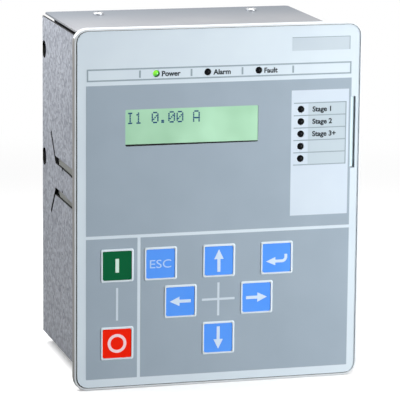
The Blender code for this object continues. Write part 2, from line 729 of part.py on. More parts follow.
def make_overlay(finish):
    """The printed film, with an embossed ridge round each key."""
    bm = bmesh.new()
    outline = rounded_rectangle(OVERLAY_WIDTH, OVERLAY_HEIGHT, OVERLAY_CORNER)
    add_prism(bm, outline, "front", 0.0, OVERLAY_THICKNESS)
    overlay = new_object("membrane_overlay", bm, finish)

    bm = bmesh.new()
    for x, z in KEYS.values():
        add_ridge(bm, x, z)
    join(overlay, bm, "ridges")

    bm = bmesh.new()
    start, end = -RIDGE_RISE - CUT_MARGIN, OVERLAY_THICKNESS + CUT_MARGIN
    add_key_openings(bm, start, end)
    add_lamp_holes(bm, start, end)
    add_window_opening(bm, WINDOW_WIDTH, WINDOW_HEIGHT, start, end)
    slot = span(SLOT_LEFT, SLOT_RIGHT, INSERT_BOTTOM - SEAT_GAP, INSERT_TOP + SEAT_GAP)
    add_prism(bm, slot, "front", start, end)
    cut(overlay, bm, "openings")
    return overlay


def add_ridge(bm, x, z):
    """A ridge with sloping flanks, rooted in the film and a little wider than the key's opening."""
    clear = KEY_OPENING + RUNNING_GAP
    sizes = [
        (clear, EMBED),
        (clear, -RIDGE_RISE / 2),
        (clear + RIDGE_SLOPE, -RIDGE_RISE),
        (clear + 2 * (RIDGE_WIDTH - RIDGE_SLOPE), -RIDGE_RISE),
        (clear + 2 * RIDGE_WIDTH, 0.0),
        (clear + 2 * RIDGE_WIDTH, EMBED),
    ]
    rings = []
    for size, depth in sizes:
        share = (size - clear) / (2 * RIDGE_WIDTH)
        corner = KEY_CORNER + share * (RIDGE_CORNER - KEY_CORNER)
        outline = rounded_rectangle(size, size, corner, (x, z), SMALL_CORNER_STEPS)
        rings.append([bm.verts.new(placed(point, "front", depth)) for point in outline])
    add_bands(bm, rings, closed=True)


def make_window(finish):
    """The clear window in the frame's display opening."""
    bm = bmesh.new()
    front = POCKET_DEPTH + WINDOW_RECESS
    add_window_opening(bm, WINDOW_WIDTH, WINDOW_HEIGHT, front, front + WINDOW_THICKNESS)
    return new_object("display_window", bm, finish)


def make_insert(finish):
    """The card with the lamps' legends, whose end shows in the slot at the right."""
    bm = bmesh.new()
    outline = span(INSERT_LEFT, INSERT_RIGHT, INSERT_BOTTOM, INSERT_TOP)
    add_prism(bm, outline, "front", POCKET_DEPTH, POCKET_DEPTH + INSERT_THICKNESS)
    return new_object("legend_insert", bm, finish)


def make_key(name, x, z, finish):
    """A key cap with a lip that holds it behind the face plate, and a plunger for its switch."""
    steps = SMALL_CORNER_STEPS
    cap = [(inset, depth - KEY_RISE) for inset, depth in rounded_edge(KEY_ROUND, SMALL_CORNER_STEPS)]
    cap.append((0.0, LIP_DEPTH))
    lip_back = LIP_DEPTH + KEY_LIP_THICKNESS
    lip = [(-KEY_LIP, LIP_DEPTH), (-KEY_LIP, lip_back)]
    thin = (KEY_SIZE - PLUNGER_SIZE) / 2
    loops = inset_loops(KEY_SIZE, KEY_SIZE, KEY_CORNER, steps, cap + lip)
    plunger = rounded_rectangle(PLUNGER_SIZE, PLUNGER_SIZE, thin, steps=steps)
    for depth in (lip_back, PLUNGER_DEPTH):
        loops.append([placed(point, "front", depth) for point in plunger])
    bm = bmesh.new()
    add_loft(bm, loops)
    return new_object(name, bm, finish, smooth=40, at=(x, 0.0, z))


def make_switch(name, x, z, finish):
    """The push switch behind a key: its button first, then its body down to the board."""
    steps = SMALL_CORNER_STEPS
    body_front = SWITCH_BACK - SWITCH_BODY
    button = rounded_rectangle(
        2 * SWITCH_BUTTON_RADIUS, 2 * SWITCH_BUTTON_RADIUS, SWITCH_BUTTON_RADIUS, steps=steps
    )
    body = rounded_rectangle(SWITCH_SIZE, SWITCH_SIZE, SWITCH_CORNER, steps=steps)
    sections = [(button, SWITCH_DEPTH), (button, body_front), (body, body_front), (body, SWITCH_BACK)]
    bm = bmesh.new()
    add_loft(bm, [[placed(p, "front", depth) for p in outline] for outline, depth in sections])
    return new_object(name, bm, finish, at=(x, 0.0, z))


def make_lamp(name, x, z, finish):
    """A domed lamp with its rim and the spacer that stands it on the board."""
    dome = arc((0.0, LAMP_RADIUS - LAMP_RISE), LAMP_RADIUS, -90, 0, SMALL_CORNER_STEPS)
    rim_front = LAMP_BODY
    rim_back = LAMP_BODY + LAMP_RIM
    back = DISPLAY_BOARD_DEPTH - SEAT_GAP
    profile = dome + [(LAMP_RADIUS, rim_front), (LAMP_RIM_RADIUS, rim_front)]
    profile += [(LAMP_RIM_RADIUS, rim_back), (LAMP_SPACER_RADIUS, rim_back)]
    profile += [(LAMP_SPACER_RADIUS, back), (0.0, back)]
    bm = bmesh.new()
    add_turned(bm, profile, "Y", (0, 0, 0), PIN_STEPS)
    return new_object(name, bm, finish, smooth=40, at=(x, 0.0, z))


def make_display(finishes):
    """The display glass and the tray that holds it and its light on the board."""
    middle = (WINDOW_X, WINDOW_Z)
    front = FLANGE_DEPTH + SEAT_GAP
    width = WINDOW_WIDTH + 2 * GLASS_BORDER
    height = WINDOW_HEIGHT + 2 * GLASS_BORDER
    glass_back = front + GLASS_THICKNESS
    bm = bmesh.new()
    glass = rounded_rectangle(width, height, WINDOW_CORNER, middle, 1)
    add_prism(bm, glass, "front", front, glass_back)
    new_object("display_glass", bm, finishes["glass"])

    bm = bmesh.new()
    around = 2 * (SEAT_GAP + HOLDER_WALL)
    tray = rounded_rectangle(width + around, height + around, HOLDER_WALL, middle, 2)
    add_prism(bm, tray, "front", front, DISPLAY_BOARD_DEPTH - SEAT_GAP)
    holder = new_object("display_holder", bm, finishes["frame"])
    bm = bmesh.new()
    size = (width + 2 * SEAT_GAP, height + 2 * SEAT_GAP)
    pocket = rounded_rectangle(*size, WINDOW_CORNER, middle, 1)
    add_prism(bm, pocket, "front", front - CUT_MARGIN, glass_back + SEAT_GAP)
    cut(holder, bm, "pocket")


def make_display_board(finish):
    """The board behind the front, staked on the frame's four bosses."""
    bm = bmesh.new()
    half_x = COLLAR_X - COLLAR_WALL - 2 * SEAT_GAP
    half_z = COLLAR_Z - COLLAR_WALL - 2 * SEAT_GAP
    outline = rounded_rectangle(2 * half_x, 2 * half_z, COLLAR_CORNER, steps=SMALL_CORNER_STEPS)
    add_prism(bm, outline, "front", DISPLAY_BOARD_DEPTH, DISPLAY_BOARD_BACK)
    board = new_object("display_board", bm, finish)
    bm = bmesh.new()
    for x, z in BOSSES:
        hole = circle(PIN_RADIUS + BOLT_GAP, (x, z), PIN_STEPS)
        start, end = DISPLAY_BOARD_DEPTH - CUT_MARGIN, DISPLAY_BOARD_BACK + CUT_MARGIN
        add_prism(bm, hole, "front", start, end)
    cut(board, bm, "pin_holes")
    return board


def make_gasket(finish):
    """The foam ring that the flange presses against the door."""
    bm = bmesh.new()
    outer = rounded_rectangle(
        FRAME_WIDTH - 2 * GASKET_EDGE,
        FRAME_HEIGHT - 2 * GASKET_EDGE,
        FRAME_CORNER - GASKET_EDGE,
    )
    inner = rounded_rectangle(
        CASE_WIDTH + 2 * GASKET_CASE_GAP, CASE_HEIGHT + 2 * GASKET_CASE_GAP, COVER_CORNER
    )
    start = FLANGE_DEPTH + SEAT_GAP
    add_ring(bm, outer, inner, "front", start, start + GASKET_THICKNESS)
    return new_object("panel_gasket", bm, finish)


# Sheet case


def wrap_profile():
    """The wrap seen from above: left side, rear wall and right side, with bent corners."""
    half, rear, bend = CASE_WIDTH / 2, CASE_REAR, OUTER_BEND
    outer = [(-half, CASE_FRONT)]
    outer += arc((-half + bend, rear - bend), bend, 180, 90)
    outer += arc((half - bend, rear - bend), bend, 90, 0)
    outer.append((half, CASE_FRONT))
    inner = [(half - SHEET, CASE_FRONT)]
    inner += arc((half - bend, rear - bend), INNER_BEND, 0, 90)
    inner += arc((-half + bend, rear - bend), INNER_BEND, 90, 180)
    inner.append((-half + SHEET, CASE_FRONT))
    return outer + inner


def flange_profile(sign):
    """The rear wall's edge folded forwards under a cover, in the side plane."""
    rear, bend, top = CASE_REAR, OUTER_BEND, INSIDE_Z - SEAT_GAP
    root = top - 2 * bend - RELIEF_HEIGHT
    points = [(rear, root)]
    points += arc((rear - bend, top - bend), bend, 0, 90)
    points.append((rear - REAR_FLANGE_LENGTH, top))
    points.append((rear - REAR_FLANGE_LENGTH, top - SHEET))
    points += arc((rear - bend, top - bend), INNER_BEND, 90, 0)
    points.append((rear - SHEET, root))
    return [(y, sign * z) for y, z in points]


def tongue_slot():
    """The slot that frees the tongue on three sides and flares out into two slanting slits."""
    along = (math.cos(FLARE_ANGLE), math.sin(FLARE_ANGLE))
    across = (-along[1], along[0])
    half_slit = FLARE_SLIT / 2
    half, outer = TONGUE_HALF_WIDTH, TONGUE_HALF_WIDTH + TONGUE_SLOT
    root = (TONGUE_ROOT_DEPTH + FLARE_SLIT, half + TONGUE_SLOT / 2)
    end = (root[0] + FLARE_LENGTH * along[0], root[1] + FLARE_LENGTH * along[1])

    def on_slit(side, z):
        run = (z - root[1] - side * half_slit * across[1]) / along[1]
        return (root[0] + run * along[0] + side * half_slit * across[0], z)

    def slit_end(side):
        return (end[0] + side * half_slit * across[0], end[1] + side * half_slit * across[1])

    front = TONGUE_TIP_DEPTH - TONGUE_SLOT
    upper_outer = [(front, outer), on_slit(1, outer), slit_end(1)]
    upper_inner = [slit_end(-1), on_slit(-1, half)]
    upper_inner += [(NICK_DEPTH + NICK_WIDTH / 2, half), (NICK_DEPTH + NICK_WIDTH / 2, half - NICK_CUT)]
    upper_inner += [(NICK_DEPTH - NICK_WIDTH / 2, half - NICK_CUT), (NICK_DEPTH - NICK_WIDTH / 2, half)]
    upper_inner += [(TONGUE_TIP_DEPTH, half)]
    upper = upper_outer + upper_inner
    lower = [(y, -z) for y, z in reversed(upper)]
    return [(y, z + TONGUE_HEIGHT) for y, z in upper + lower]


def spring_tongue(wrap):
    """Bends both tongues outwards, more and more towards the tip."""
    bm = bmesh.new()
    bm.from_mesh(wrap.data)
    length = TONGUE_ROOT_DEPTH - TONGUE_TIP_DEPTH
    for number in range(TONGUE_FOLDS):
        fold = TONGUE_TIP_DEPTH + length * (number + 1) / TONGUE_FOLDS
        geometry = bm.verts[:] + bm.edges[:] + bm.faces[:]
        bmesh.ops.bisect_plane(bm, geom=geometry, plane_co=(0, fold, 0), plane_no=(0, 1, 0))
    reach = TONGUE_HALF_WIDTH + EMBED
    for vert in bm.verts:
        on_side = abs(vert.co.x) > INSIDE_X - EMBED
        on_tongue = abs(vert.co.z - TONGUE_HEIGHT) < reach
        if on_side and on_tongue and TONGUE_TIP_DEPTH - EMBED < vert.co.y < TONGUE_ROOT_DEPTH:
            share = (TONGUE_ROOT_DEPTH - vert.co.y) / length
            vert.co.x += math.copysign(TONGUE_SPRING * share**2, vert.co.x)
    bm.to_mesh(wrap.data)
    bm.free()


def add_standoffs(bm):
    """Swaged pins on both sides of the case, which hold the two boards."""
    start = INSIDE_X + EMBED
    shoulder = INSIDE_X - SIDE_BOARD_STANDOFF
    tip = SIDE_BOARD_INNER - PIN_RISE
    profile = [(0, start), (STANDOFF_RADIUS, start), (STANDOFF_RADIUS, shoulder)]
    profile += [(PIN_RADIUS, shoulder), (PIN_RADIUS, tip), (0, tip)]
    for side in (-1, 1):
        for depth in STANDOFF_DEPTHS:
            for z in (-STANDOFF_HEIGHT, STANDOFF_HEIGHT):
                mirrored = [(radius, side * x) for radius, x in profile]
                add_turned(bm, mirrored, "X", (0, depth, z), PIN_STEPS)


def make_case_wrap(finish):
    """The U-shaped sheet: sides and rear wall with all that is punched, lanced and folded in it."""
    bm = bmesh.new()
    add_prism(bm, wrap_profile(), "top", -SIDE_TOP, SIDE_TOP)
    wrap = new_object("case_wrap", bm, finish)

    bm = bmesh.new()
    relief_x = CASE_WIDTH / 2 - SHEET - CORNER_RELIEF
    for sign in (-1, 1):
        add_prism(bm, flange_profile(sign), "side", -relief_x, relief_x)
    join(wrap, bm, "rear_flanges")

    bm = bmesh.new()
    low, high = SIDE_TOP - RELIEF_HEIGHT, SIDE_TOP + CUT_MARGIN
    for side in (-1, 1):
        near, far = sorted((side * relief_x, side * INSIDE_X))
        for z in (sorted((low, high)), sorted((-high, -low))):
            start = CASE_REAR - OUTER_BEND
            add_block(bm, (near, start, z[0]), (far, CASE_REAR + CUT_MARGIN, z[1]))
    cut(wrap, bm, "corner_reliefs")

    bm = bmesh.new()
    for side in (-1, 1):
        start = side * (INSIDE_X - CUT_MARGIN)
        end = side * (CASE_WIDTH / 2 + CUT_MARGIN)
        add_prism(bm, tongue_slot(), "side", start, end)
        for z in SIDE_HOLE_HEIGHTS:
            hole = circle(SIDE_HOLE_RADIUS, (CASE_REAR - SIDE_HOLE_FROM_REAR, z))
            add_prism(bm, hole, "side", start, end)
        for z in (-LUG_HEIGHT, LUG_HEIGHT):
            grow = SEAT_GAP
            window = span(
                LUG_DEPTH - LUG_WIDTH / 2 - grow,
                LUG_DEPTH + LUG_WIDTH / 2 + grow,
                z - LUG_LENGTH / 2 - grow,
                z + LUG_LENGTH / 2 + grow,
            )
            add_prism(bm, window, "side", start, end)
    cut(wrap, bm, "side_cutouts")

    bm = bmesh.new()
    start, end = CASE_REAR - SHEET - CUT_MARGIN, CASE_REAR + CUT_MARGIN
    add_prism(bm, grown_span(terminal_box(), SEAT_GAP), "front", start, end)
    add_prism(bm, grown_span(connector_box(OUTPUT_Z, OUTPUT_HALF), SEAT_GAP), "front", start, end)
    add_prism(bm, grown_span(connector_box(SUPPLY_Z, SUPPLY_HALF), SEAT_GAP), "front", start, end)
    add_prism(bm, circle(EARTH_RADIUS + BOLT_GAP, (EARTH_X, EARTH_Z)), "front", start, end)
    cut(wrap, bm, "rear_cutouts")

    bm = bmesh.new()
    for sign in (-1, 1):
        top = INSIDE_Z - SEAT_GAP
        for x in (-COVER_SCREW_X, COVER_SCREW_X):
            hole = circle(SCREW_RADIUS + BOLT_GAP, (x, CASE_REAR - COVER_SCREW_FROM_REAR))
            add_prism(bm, hole, "top", sign * (top - SHEET - CUT_MARGIN), sign * (top + CUT_MARGIN))
    cut(wrap, bm, "screw_holes")

    bm = bmesh.new()
    add_standoffs(bm)
    join(wrap, bm, "standoffs")
    applied(wrap)
    spring_tongue(wrap)
    return wrap


def make_cover(name, sign, finish):
    """A flat cover, narrower than the case by an inset on each side, with its two screw holes."""
    bm = bmesh.new()
    width = CASE_WIDTH - 2 * COVER_INSET
    middle = (0.0, (CASE_FRONT + CASE_REAR) / 2)
    outline = rounded_rectangle(
        width, CASE_REAR - CASE_FRONT, COVER_CORNER, middle, SMALL_CORNER_STEPS
    )
    add_prism(bm, outline, "top", sign * INSIDE_Z, sign * CASE_HEIGHT / 2)
    cover = new_object(name, bm, finish)
    bm = bmesh.new()
    for x in (-COVER_SCREW_X, COVER_SCREW_X):
        hole = circle(SCREW_RADIUS + BOLT_GAP, (x, CASE_REAR - COVER_SCREW_FROM_REAR))
        start = sign * (INSIDE_Z - CUT_MARGIN)
        add_prism(bm, hole, "top", start, sign * (CASE_HEIGHT / 2 + CUT_MARGIN))
    cut(cover, bm, "screw_holes")
    return cover


def make_cover_screw(name, x, sign, finish):
    """A low pan-head screw with a cross recess."""
    seat = CASE_HEIGHT / 2 + HEAD_GAP
    crown = seat + SCREW_HEAD_HEIGHT
    dome = rounded_edge(1.0, EDGE_STEPS)
    profile = [(SCREW_HEAD_RADIUS * (1 - inset), crown - SCREW_HEAD_DOME * drop) for inset, drop in dome]
    profile.append((SCREW_HEAD_RADIUS, seat))
    profile += [(SCREW_RADIUS, seat), (SCREW_RADIUS, seat - SCREW_LENGTH), (0, seat - SCREW_LENGTH)]
    centre = (x, CASE_REAR - COVER_SCREW_FROM_REAR, 0)
    bm = bmesh.new()
    add_turned(bm, [(radius, sign * z) for radius, z in profile], "Z", centre)
    screw = new_object(name, bm, finish, smooth=35)
    arms = [(RECESS_LENGTH, RECESS_WIDTH), (RECESS_WIDTH, RECESS_LENGTH)]
    for number, (width, length) in enumerate(arms):
        bm = bmesh.new()
        outline = span(
            centre[0] - width / 2,
            centre[0] + width / 2,
            centre[1] - length / 2,
            centre[1] + length / 2,
        )
        add_prism(bm, outline, "top", sign * (crown - RECESS_DEPTH), sign * (crown + CUT_MARGIN))
        cut(screw, bm, f"recess_{number}")
    return screw


# Boards and their components


def make_side_board(name, side, finish):
    """A board along one side of the case, on its four pins."""
    bm = bmesh.new()
    outline = span(SIDE_BOARD_FRONT, SIDE_BOARD_REAR, -SIDE_BOARD_HALF_HEIGHT, SIDE_BOARD_HALF_HEIGHT)
    add_prism(bm, outline, "side", side * SIDE_BOARD_INNER, side * SIDE_BOARD_OUTER)
    board = new_object(name, bm, finish)
    bm = bmesh.new()
    start = side * (SIDE_BOARD_INNER - CUT_MARGIN)
    end = side * (SIDE_BOARD_OUTER + CUT_MARGIN)
    for depth in STANDOFF_DEPTHS:
        for z in (-STANDOFF_HEIGHT, STANDOFF_HEIGHT):
            hole = circle(PIN_RADIUS + BOLT_GAP, (depth, z), PIN_STEPS)
            add_prism(bm, hole, "side", start, end)
    cut(board, bm, "pin_holes")
    return board


def make_current_transformer(number, finish):
    """A cast ring with a round-edged section, standing on the left-hand board."""
    z = (number - (TRANSFORMER_COUNT - 1) / 2) * TRANSFORMER_PITCH
    near, far = -COMPONENT_X, -COMPONENT_X + TRANSFORMER_THICKNESS
    edge = TRANSFORMER_ROUND
    profile = []
    profile += arc((TRANSFORMER_RADIUS - edge, near + edge), edge, -90, 0, 1)
    profile += arc((TRANSFORMER_RADIUS - edge, far - edge), edge, 0, 90, 1)
    profile += arc((TRANSFORMER_BORE + edge, far - edge), edge, 90, 180, 1)
    profile += arc((TRANSFORMER_BORE + edge, near + edge), edge, 180, 270, 1)
    bm = bmesh.new()
    add_turned(bm, profile, "X", (0, TRANSFORMER_DEPTH, z), RING_STEPS, closed=True)
    return new_object(f"current_transformer_{number + 1}", bm, finish, smooth=40)


def make_output_relay(number, finish):
    """A sealed relay on the right-hand board, its edges broken."""
    z = RELAY_FIRST_Z - number * RELAY_PITCH
    edge = RELAY_EDGE
    start = COMPONENT_X
    top = start - RELAY_HEIGHT
    sections = [(0.0, start), (0.0, top + edge), (edge, top)]
    loops = []
    for inset, level in sections:
        size = (RELAY_WIDTH - 2 * inset, RELAY_LENGTH - 2 * inset)
        outline = rounded_rectangle(*size, edge, (RELAY_DEPTH, z), SMALL_CORNER_STEPS)
        loops.append([placed(point, "side", level) for point in outline])
    bm = bmesh.new()
    add_loft(bm, loops)
    return new_object(f"output_relay_{number + 1}", bm, finish)


def make_power_transformer(finish):
    """A ferrite core with its winding, on the right-hand board."""
    bm = bmesh.new()
    add_block(
        bm,
        (COMPONENT_X - CORE_HEIGHT, CORE_DEPTH - CORE_WIDTH / 2, CORE_Z - CORE_LENGTH / 2),
        (COMPONENT_X, CORE_DEPTH + CORE_WIDTH / 2, CORE_Z + CORE_LENGTH / 2),
    )
    core = new_object("power_transformer", bm, finish)
    middle = (COMPONENT_X - CORE_HEIGHT / 2, CORE_DEPTH)
    outline = rounded_rectangle(COIL_HEIGHT, COIL_WIDTH, COIL_CORNER, middle)
    bm = bmesh.new()
    add_prism(bm, outline, "top", CORE_Z - COIL_LENGTH / 2, CORE_Z + COIL_LENGTH / 2)
    join(core, bm, "winding")
    return core


def make_capacitor(number, finish):
    """A can capacitor: crimp groove near its foot, scored vent end."""
    z = CAPACITOR_FIRST_Z + number * CAPACITOR_PITCH
    radius, foot = CAPACITOR_RADIUS, COMPONENT_X
    top = foot - CAPACITOR_LENGTH
    edge, groove, neck = CAPACITOR_EDGE, CAPACITOR_GROOVE, foot - CAPACITOR_GROOVE_HEIGHT
    profile = [(0, foot), (radius - edge, foot), (radius, foot - edge)]
    profile += [(radius, neck + groove), (radius - groove, neck), (radius, neck - groove)]
    profile += [(radius, top + edge), (radius - edge, top), (radius - CAPACITOR_CURL, top)]
    profile += [(radius - CAPACITOR_CURL, top + CAPACITOR_VENT), (0, top + CAPACITOR_VENT)]
    bm = bmesh.new()
    add_turned(bm, profile, "X", (0, CAPACITOR_DEPTH, z), PIN_STEPS)
    return new_object(f"capacitor_{number + 1}", bm, finish, smooth=40)


def make_ribbon_cable(finish):
    """The flat cable from the display board to the left-hand board, with a plug at each end."""
    start_y = DISPLAY_BOARD_BACK + SEAT_GAP
    end_x = -COMPONENT_X
    end_y = CABLE_BOARD_DEPTH
    half = CABLE_THICKNESS / 2
    first_y = start_y + CABLE_PLUG_DEPTH
    middle = (CABLE_START_X - CABLE_BEND, end_y - CABLE_BEND)
    out = arc(middle, CABLE_BEND + half, 0, 90, CABLE_STEPS)
    back = arc(middle, CABLE_BEND - half, 90, 0, CABLE_STEPS)
    far_x = end_x + CABLE_PLUG_DEPTH - EMBED
    strip = [(CABLE_START_X + half, first_y - EMBED)] + out
    strip += [(far_x, end_y + half), (far_x, end_y - half)]
    strip += back + [(CABLE_START_X - half, first_y - EMBED)]
    low, high = CABLE_Z - CABLE_WIDTH / 2, CABLE_Z + CABLE_WIDTH / 2
    bm = bmesh.new()
    add_prism(bm, strip, "top", low, high)
    cable = new_object("ribbon_cable", bm, finish)
    ends = [
        span(
            CABLE_START_X - CABLE_PLUG_LENGTH / 2,
            CABLE_START_X + CABLE_PLUG_LENGTH / 2,
            start_y,
            first_y,
        ),
        span(
            end_x,
            end_x + CABLE_PLUG_DEPTH,
            end_y - CABLE_PLUG_LENGTH / 2,
            end_y + CABLE_PLUG_LENGTH / 2,
        ),
    ]
    bm = bmesh.new()
    for outline in ends:
        add_prism(bm, outline, "top", low - CABLE_THICKNESS, high + CABLE_THICKNESS)
    join(cable, bm, "plugs")
    return cable


# Rear terminals


def terminal_box():
    """(low x, high x, low z, high z) of the current terminals."""
    half = TERMINAL_WAYS * TERMINAL_PITCH / 2 + TERMINAL_WALL
    return (-COMPONENT_X, -COMPONENT_X + TERMINAL_WIDTH, -half, half)


def connector_box(z, half):
    """(low x, high x, low z, high z) of a plug-in connector's socket."""
    return (COMPONENT_X - CONNECTOR_WIDTH, COMPONENT_X, z - half, z + half)


def grown_span(box, grow):
    """A rectangle's outline with a clearance all round."""
    return span(box[0] - grow, box[1] + grow, box[2] - grow, box[3] + grow)


def make_terminal_block(finish):
    """The current terminals: a block with one walled well and one clamp screw for each way."""
    low_x, high_x, low_z, high_z = terminal_box()
    bm = bmesh.new()
    add_block(bm, (low_x, TERMINAL_INNER_DEPTH, low_z), (high_x, TERMINAL_REAR, high_z))
    block = new_object("current_terminal_block", bm, finish)
    floor = TERMINAL_REAR - TERMINAL_WELL_DEPTH
    wells, screws = bmesh.new(), bmesh.new()
    middle_x = (low_x + high_x) / 2
    for way in range(TERMINAL_WAYS):
        z = (way - (TERMINAL_WAYS - 1) / 2) * TERMINAL_PITCH
        half = (TERMINAL_PITCH - TERMINAL_WALL) / 2
        well = span(low_x + TERMINAL_WALL, high_x + CUT_MARGIN, z - half, z + half)
        add_prism(wells, well, "front", floor, TERMINAL_REAR + CUT_MARGIN)
        crown = floor + TERMINAL_SCREW_HEIGHT
        radius, chamfer = TERMINAL_SCREW_RADIUS, TERMINAL_SCREW_CHAMFER
        profile = [(0, floor - EMBED), (radius, floor - EMBED), (radius, crown - chamfer)]
        profile += [(radius - chamfer, crown), (0, crown)]
        add_turned(screws, profile, "Y", (middle_x, 0, z), PIN_STEPS)
    cut(block, wells, "wells")
    join(block, screws, "screws")
    return block


def make_connector(kind, ways, z, half, finishes):
    """A socket soldered to the right-hand board, and the plug that sits in it."""
    low_x, high_x, low_z, high_z = connector_box(z, half)
    bm = bmesh.new()
    add_block(bm, (low_x, TERMINAL_INNER_DEPTH, low_z), (high_x, CONNECTOR_REAR, high_z))
    socket = new_object(f"{kind}_socket", bm, finishes["terminal"])
    floor = CONNECTOR_REAR - CONNECTOR_SOCKET
    bm = bmesh.new()
    wall = CONNECTOR_WALL
    add_block(
        bm,
        (low_x + wall, floor, low_z + wall),
        (high_x - wall, CONNECTOR_REAR + CUT_MARGIN, high_z - wall),
    )
    cut(socket, bm, "mouth")

    inset = wall + SEAT_GAP
    middle_x = (low_x + high_x) / 2
    bm = bmesh.new()
    add_block(
        bm,
        (low_x + inset, floor + SEAT_GAP, low_z + inset),
        (high_x - inset, PLUG_REAR, high_z - inset),
    )
    plug = new_object(f"{kind}_plug", bm, finishes["plug"])
    bm = bmesh.new()
    for way in range(ways):
        way_z = z + (way - (ways - 1) / 2) * CONNECTOR_PITCH
        side = PLUG_ENTRY / 2
        entry = span(middle_x - side, middle_x + side, way_z - side, way_z + side)
        add_prism(bm, entry, "front", PLUG_REAR - PLUG_ENTRY_DEPTH, PLUG_REAR + CUT_MARGIN)
    cut(plug, bm, "wire_entries")
    bm = bmesh.new()
    screw_depth = PLUG_REAR - PLUG_ENTRY_DEPTH / 2
    for way in range(ways):
        way_z = z + (way - (ways - 1) / 2) * CONNECTOR_PITCH
        hole = circle(PLUG_SCREW_RADIUS, (screw_depth, way_z), SMALL_HOLE_STEPS)
        add_prism(bm, hole, "side", low_x - CUT_MARGIN, middle_x)
    cut(plug, bm, "screw_holes")


def make_earth_terminal(finishes):
    """The earth stud through the rear wall and its nut."""
    head_back = CASE_REAR - SHEET - SEAT_GAP
    head_front = head_back - EARTH_HEAD_THICKNESS
    radius = EARTH_RADIUS
    profile = [(0, head_front), (EARTH_HEAD_RADIUS, head_front), (EARTH_HEAD_RADIUS, head_back)]
    profile += [(radius, head_back), (radius, EARTH_REAR - EARTH_CHAMFER)]
    profile += [(radius - EARTH_CHAMFER, EARTH_REAR), (0, EARTH_REAR)]
    bm = bmesh.new()
    add_turned(bm, profile, "Y", (EARTH_X, 0, EARTH_Z))
    new_object("earth_stud", bm, finishes["steel"], smooth=35)

    bm = bmesh.new()
    start = CASE_REAR + SEAT_GAP
    end = start + NUT_THICKNESS
    outer = circle(NUT_FLATS / math.sqrt(3), (EARTH_X, EARTH_Z), 6)
    add_prism(bm, outer, "front", start, end)
    nut = new_object("earth_nut", bm, finishes["steel"])
    bm = bmesh.new()
    bore = circle(EARTH_RADIUS + BOLT_GAP, (EARTH_X, EARTH_Z))
    add_prism(bm, bore, "front", start - CUT_MARGIN, end + CUT_MARGIN)
    cut(nut, bm, "bore")


# The relay


def clear_scene():
    """Removes every object that the file opened with."""
    for obj in list(bpy.data.objects):
        bpy.data.objects.remove(obj, do_unlink=True)


def make_relay():
    """Builds every piece of the relay."""
    clear_scene()
    holder = bpy.data.objects.new("relay", None)
    bpy.context.scene.collection.objects.link(holder)
    holder.location = (0.0, RIM_RISE - OVERALL_DEPTH / 2, FRAME_HEIGHT / 2)
    finishes = make_materials()
    key_finishes = {"key_on": "green_key", "key_off": "red_key"}

    make_front_frame(finishes["frame"])
    make_gasket(finishes["rubber"])
    make_overlay(finishes["film"])
    make_window(finishes["clear"])
    make_insert(finishes["card"])
    for name, (x, z) in KEYS.items():
        make_key(name, x, z, finishes[key_finishes.get(name, "blue_key")])
        make_switch(name.replace("key", "switch"), x, z, finishes["switch"])
    for number, (x, z) in enumerate(STATUS_LAMPS, 1):
        lamp_finish = finishes["green_lamp" if number == 1 else "dark_lamp"]
        make_lamp(f"status_lamp_{number}", x, z, lamp_finish)
    for number, (x, z) in enumerate(ALARM_LAMPS, 1):
        make_lamp(f"alarm_lamp_{number}", x, z, finishes["dark_lamp"])
    make_display(finishes)
    make_display_board(finishes["board"])
    make_ribbon_cable(finishes["cable"])

    make_case_wrap(finishes["zinc"])
    for name, sign in (("top", 1), ("bottom", -1)):
        make_cover(f"{name}_cover", sign, finishes["cover"])
        for side, x in (("left", -COVER_SCREW_X), ("right", COVER_SCREW_X)):
            make_cover_screw(f"{name}_screw_{side}", x, sign, finishes["steel"])

    make_side_board("main_board", -1, finishes["board"])
    make_side_board("supply_board", 1, finishes["board"])
    for number in range(TRANSFORMER_COUNT):
        make_current_transformer(number, finishes["resin"])
    for number in range(RELAY_COUNT):
        make_output_relay(number, finishes["relay"])
    make_power_transformer(finishes["ferrite"])
    for number in range(CAPACITOR_COUNT):
        make_capacitor(number, finishes["can"])

    make_terminal_block(finishes["terminal"])
    make_connector("output", OUTPUT_WAYS, OUTPUT_Z, OUTPUT_HALF, finishes)
    make_connector("supply", SUPPLY_WAYS, SUPPLY_Z, SUPPLY_HALF, finishes)
    make_earth_terminal(finishes)


make_relay()
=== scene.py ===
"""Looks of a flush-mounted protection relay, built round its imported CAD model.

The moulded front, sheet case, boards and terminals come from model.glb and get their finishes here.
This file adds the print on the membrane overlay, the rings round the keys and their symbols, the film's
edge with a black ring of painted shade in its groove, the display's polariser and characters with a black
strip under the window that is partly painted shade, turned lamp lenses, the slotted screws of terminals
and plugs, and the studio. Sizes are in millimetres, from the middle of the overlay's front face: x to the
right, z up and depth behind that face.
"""

import logging
import math
from dataclasses import dataclass, field, replace
from enum import Enum

import bmesh
import bpy
from mathutils import Matrix, Vector


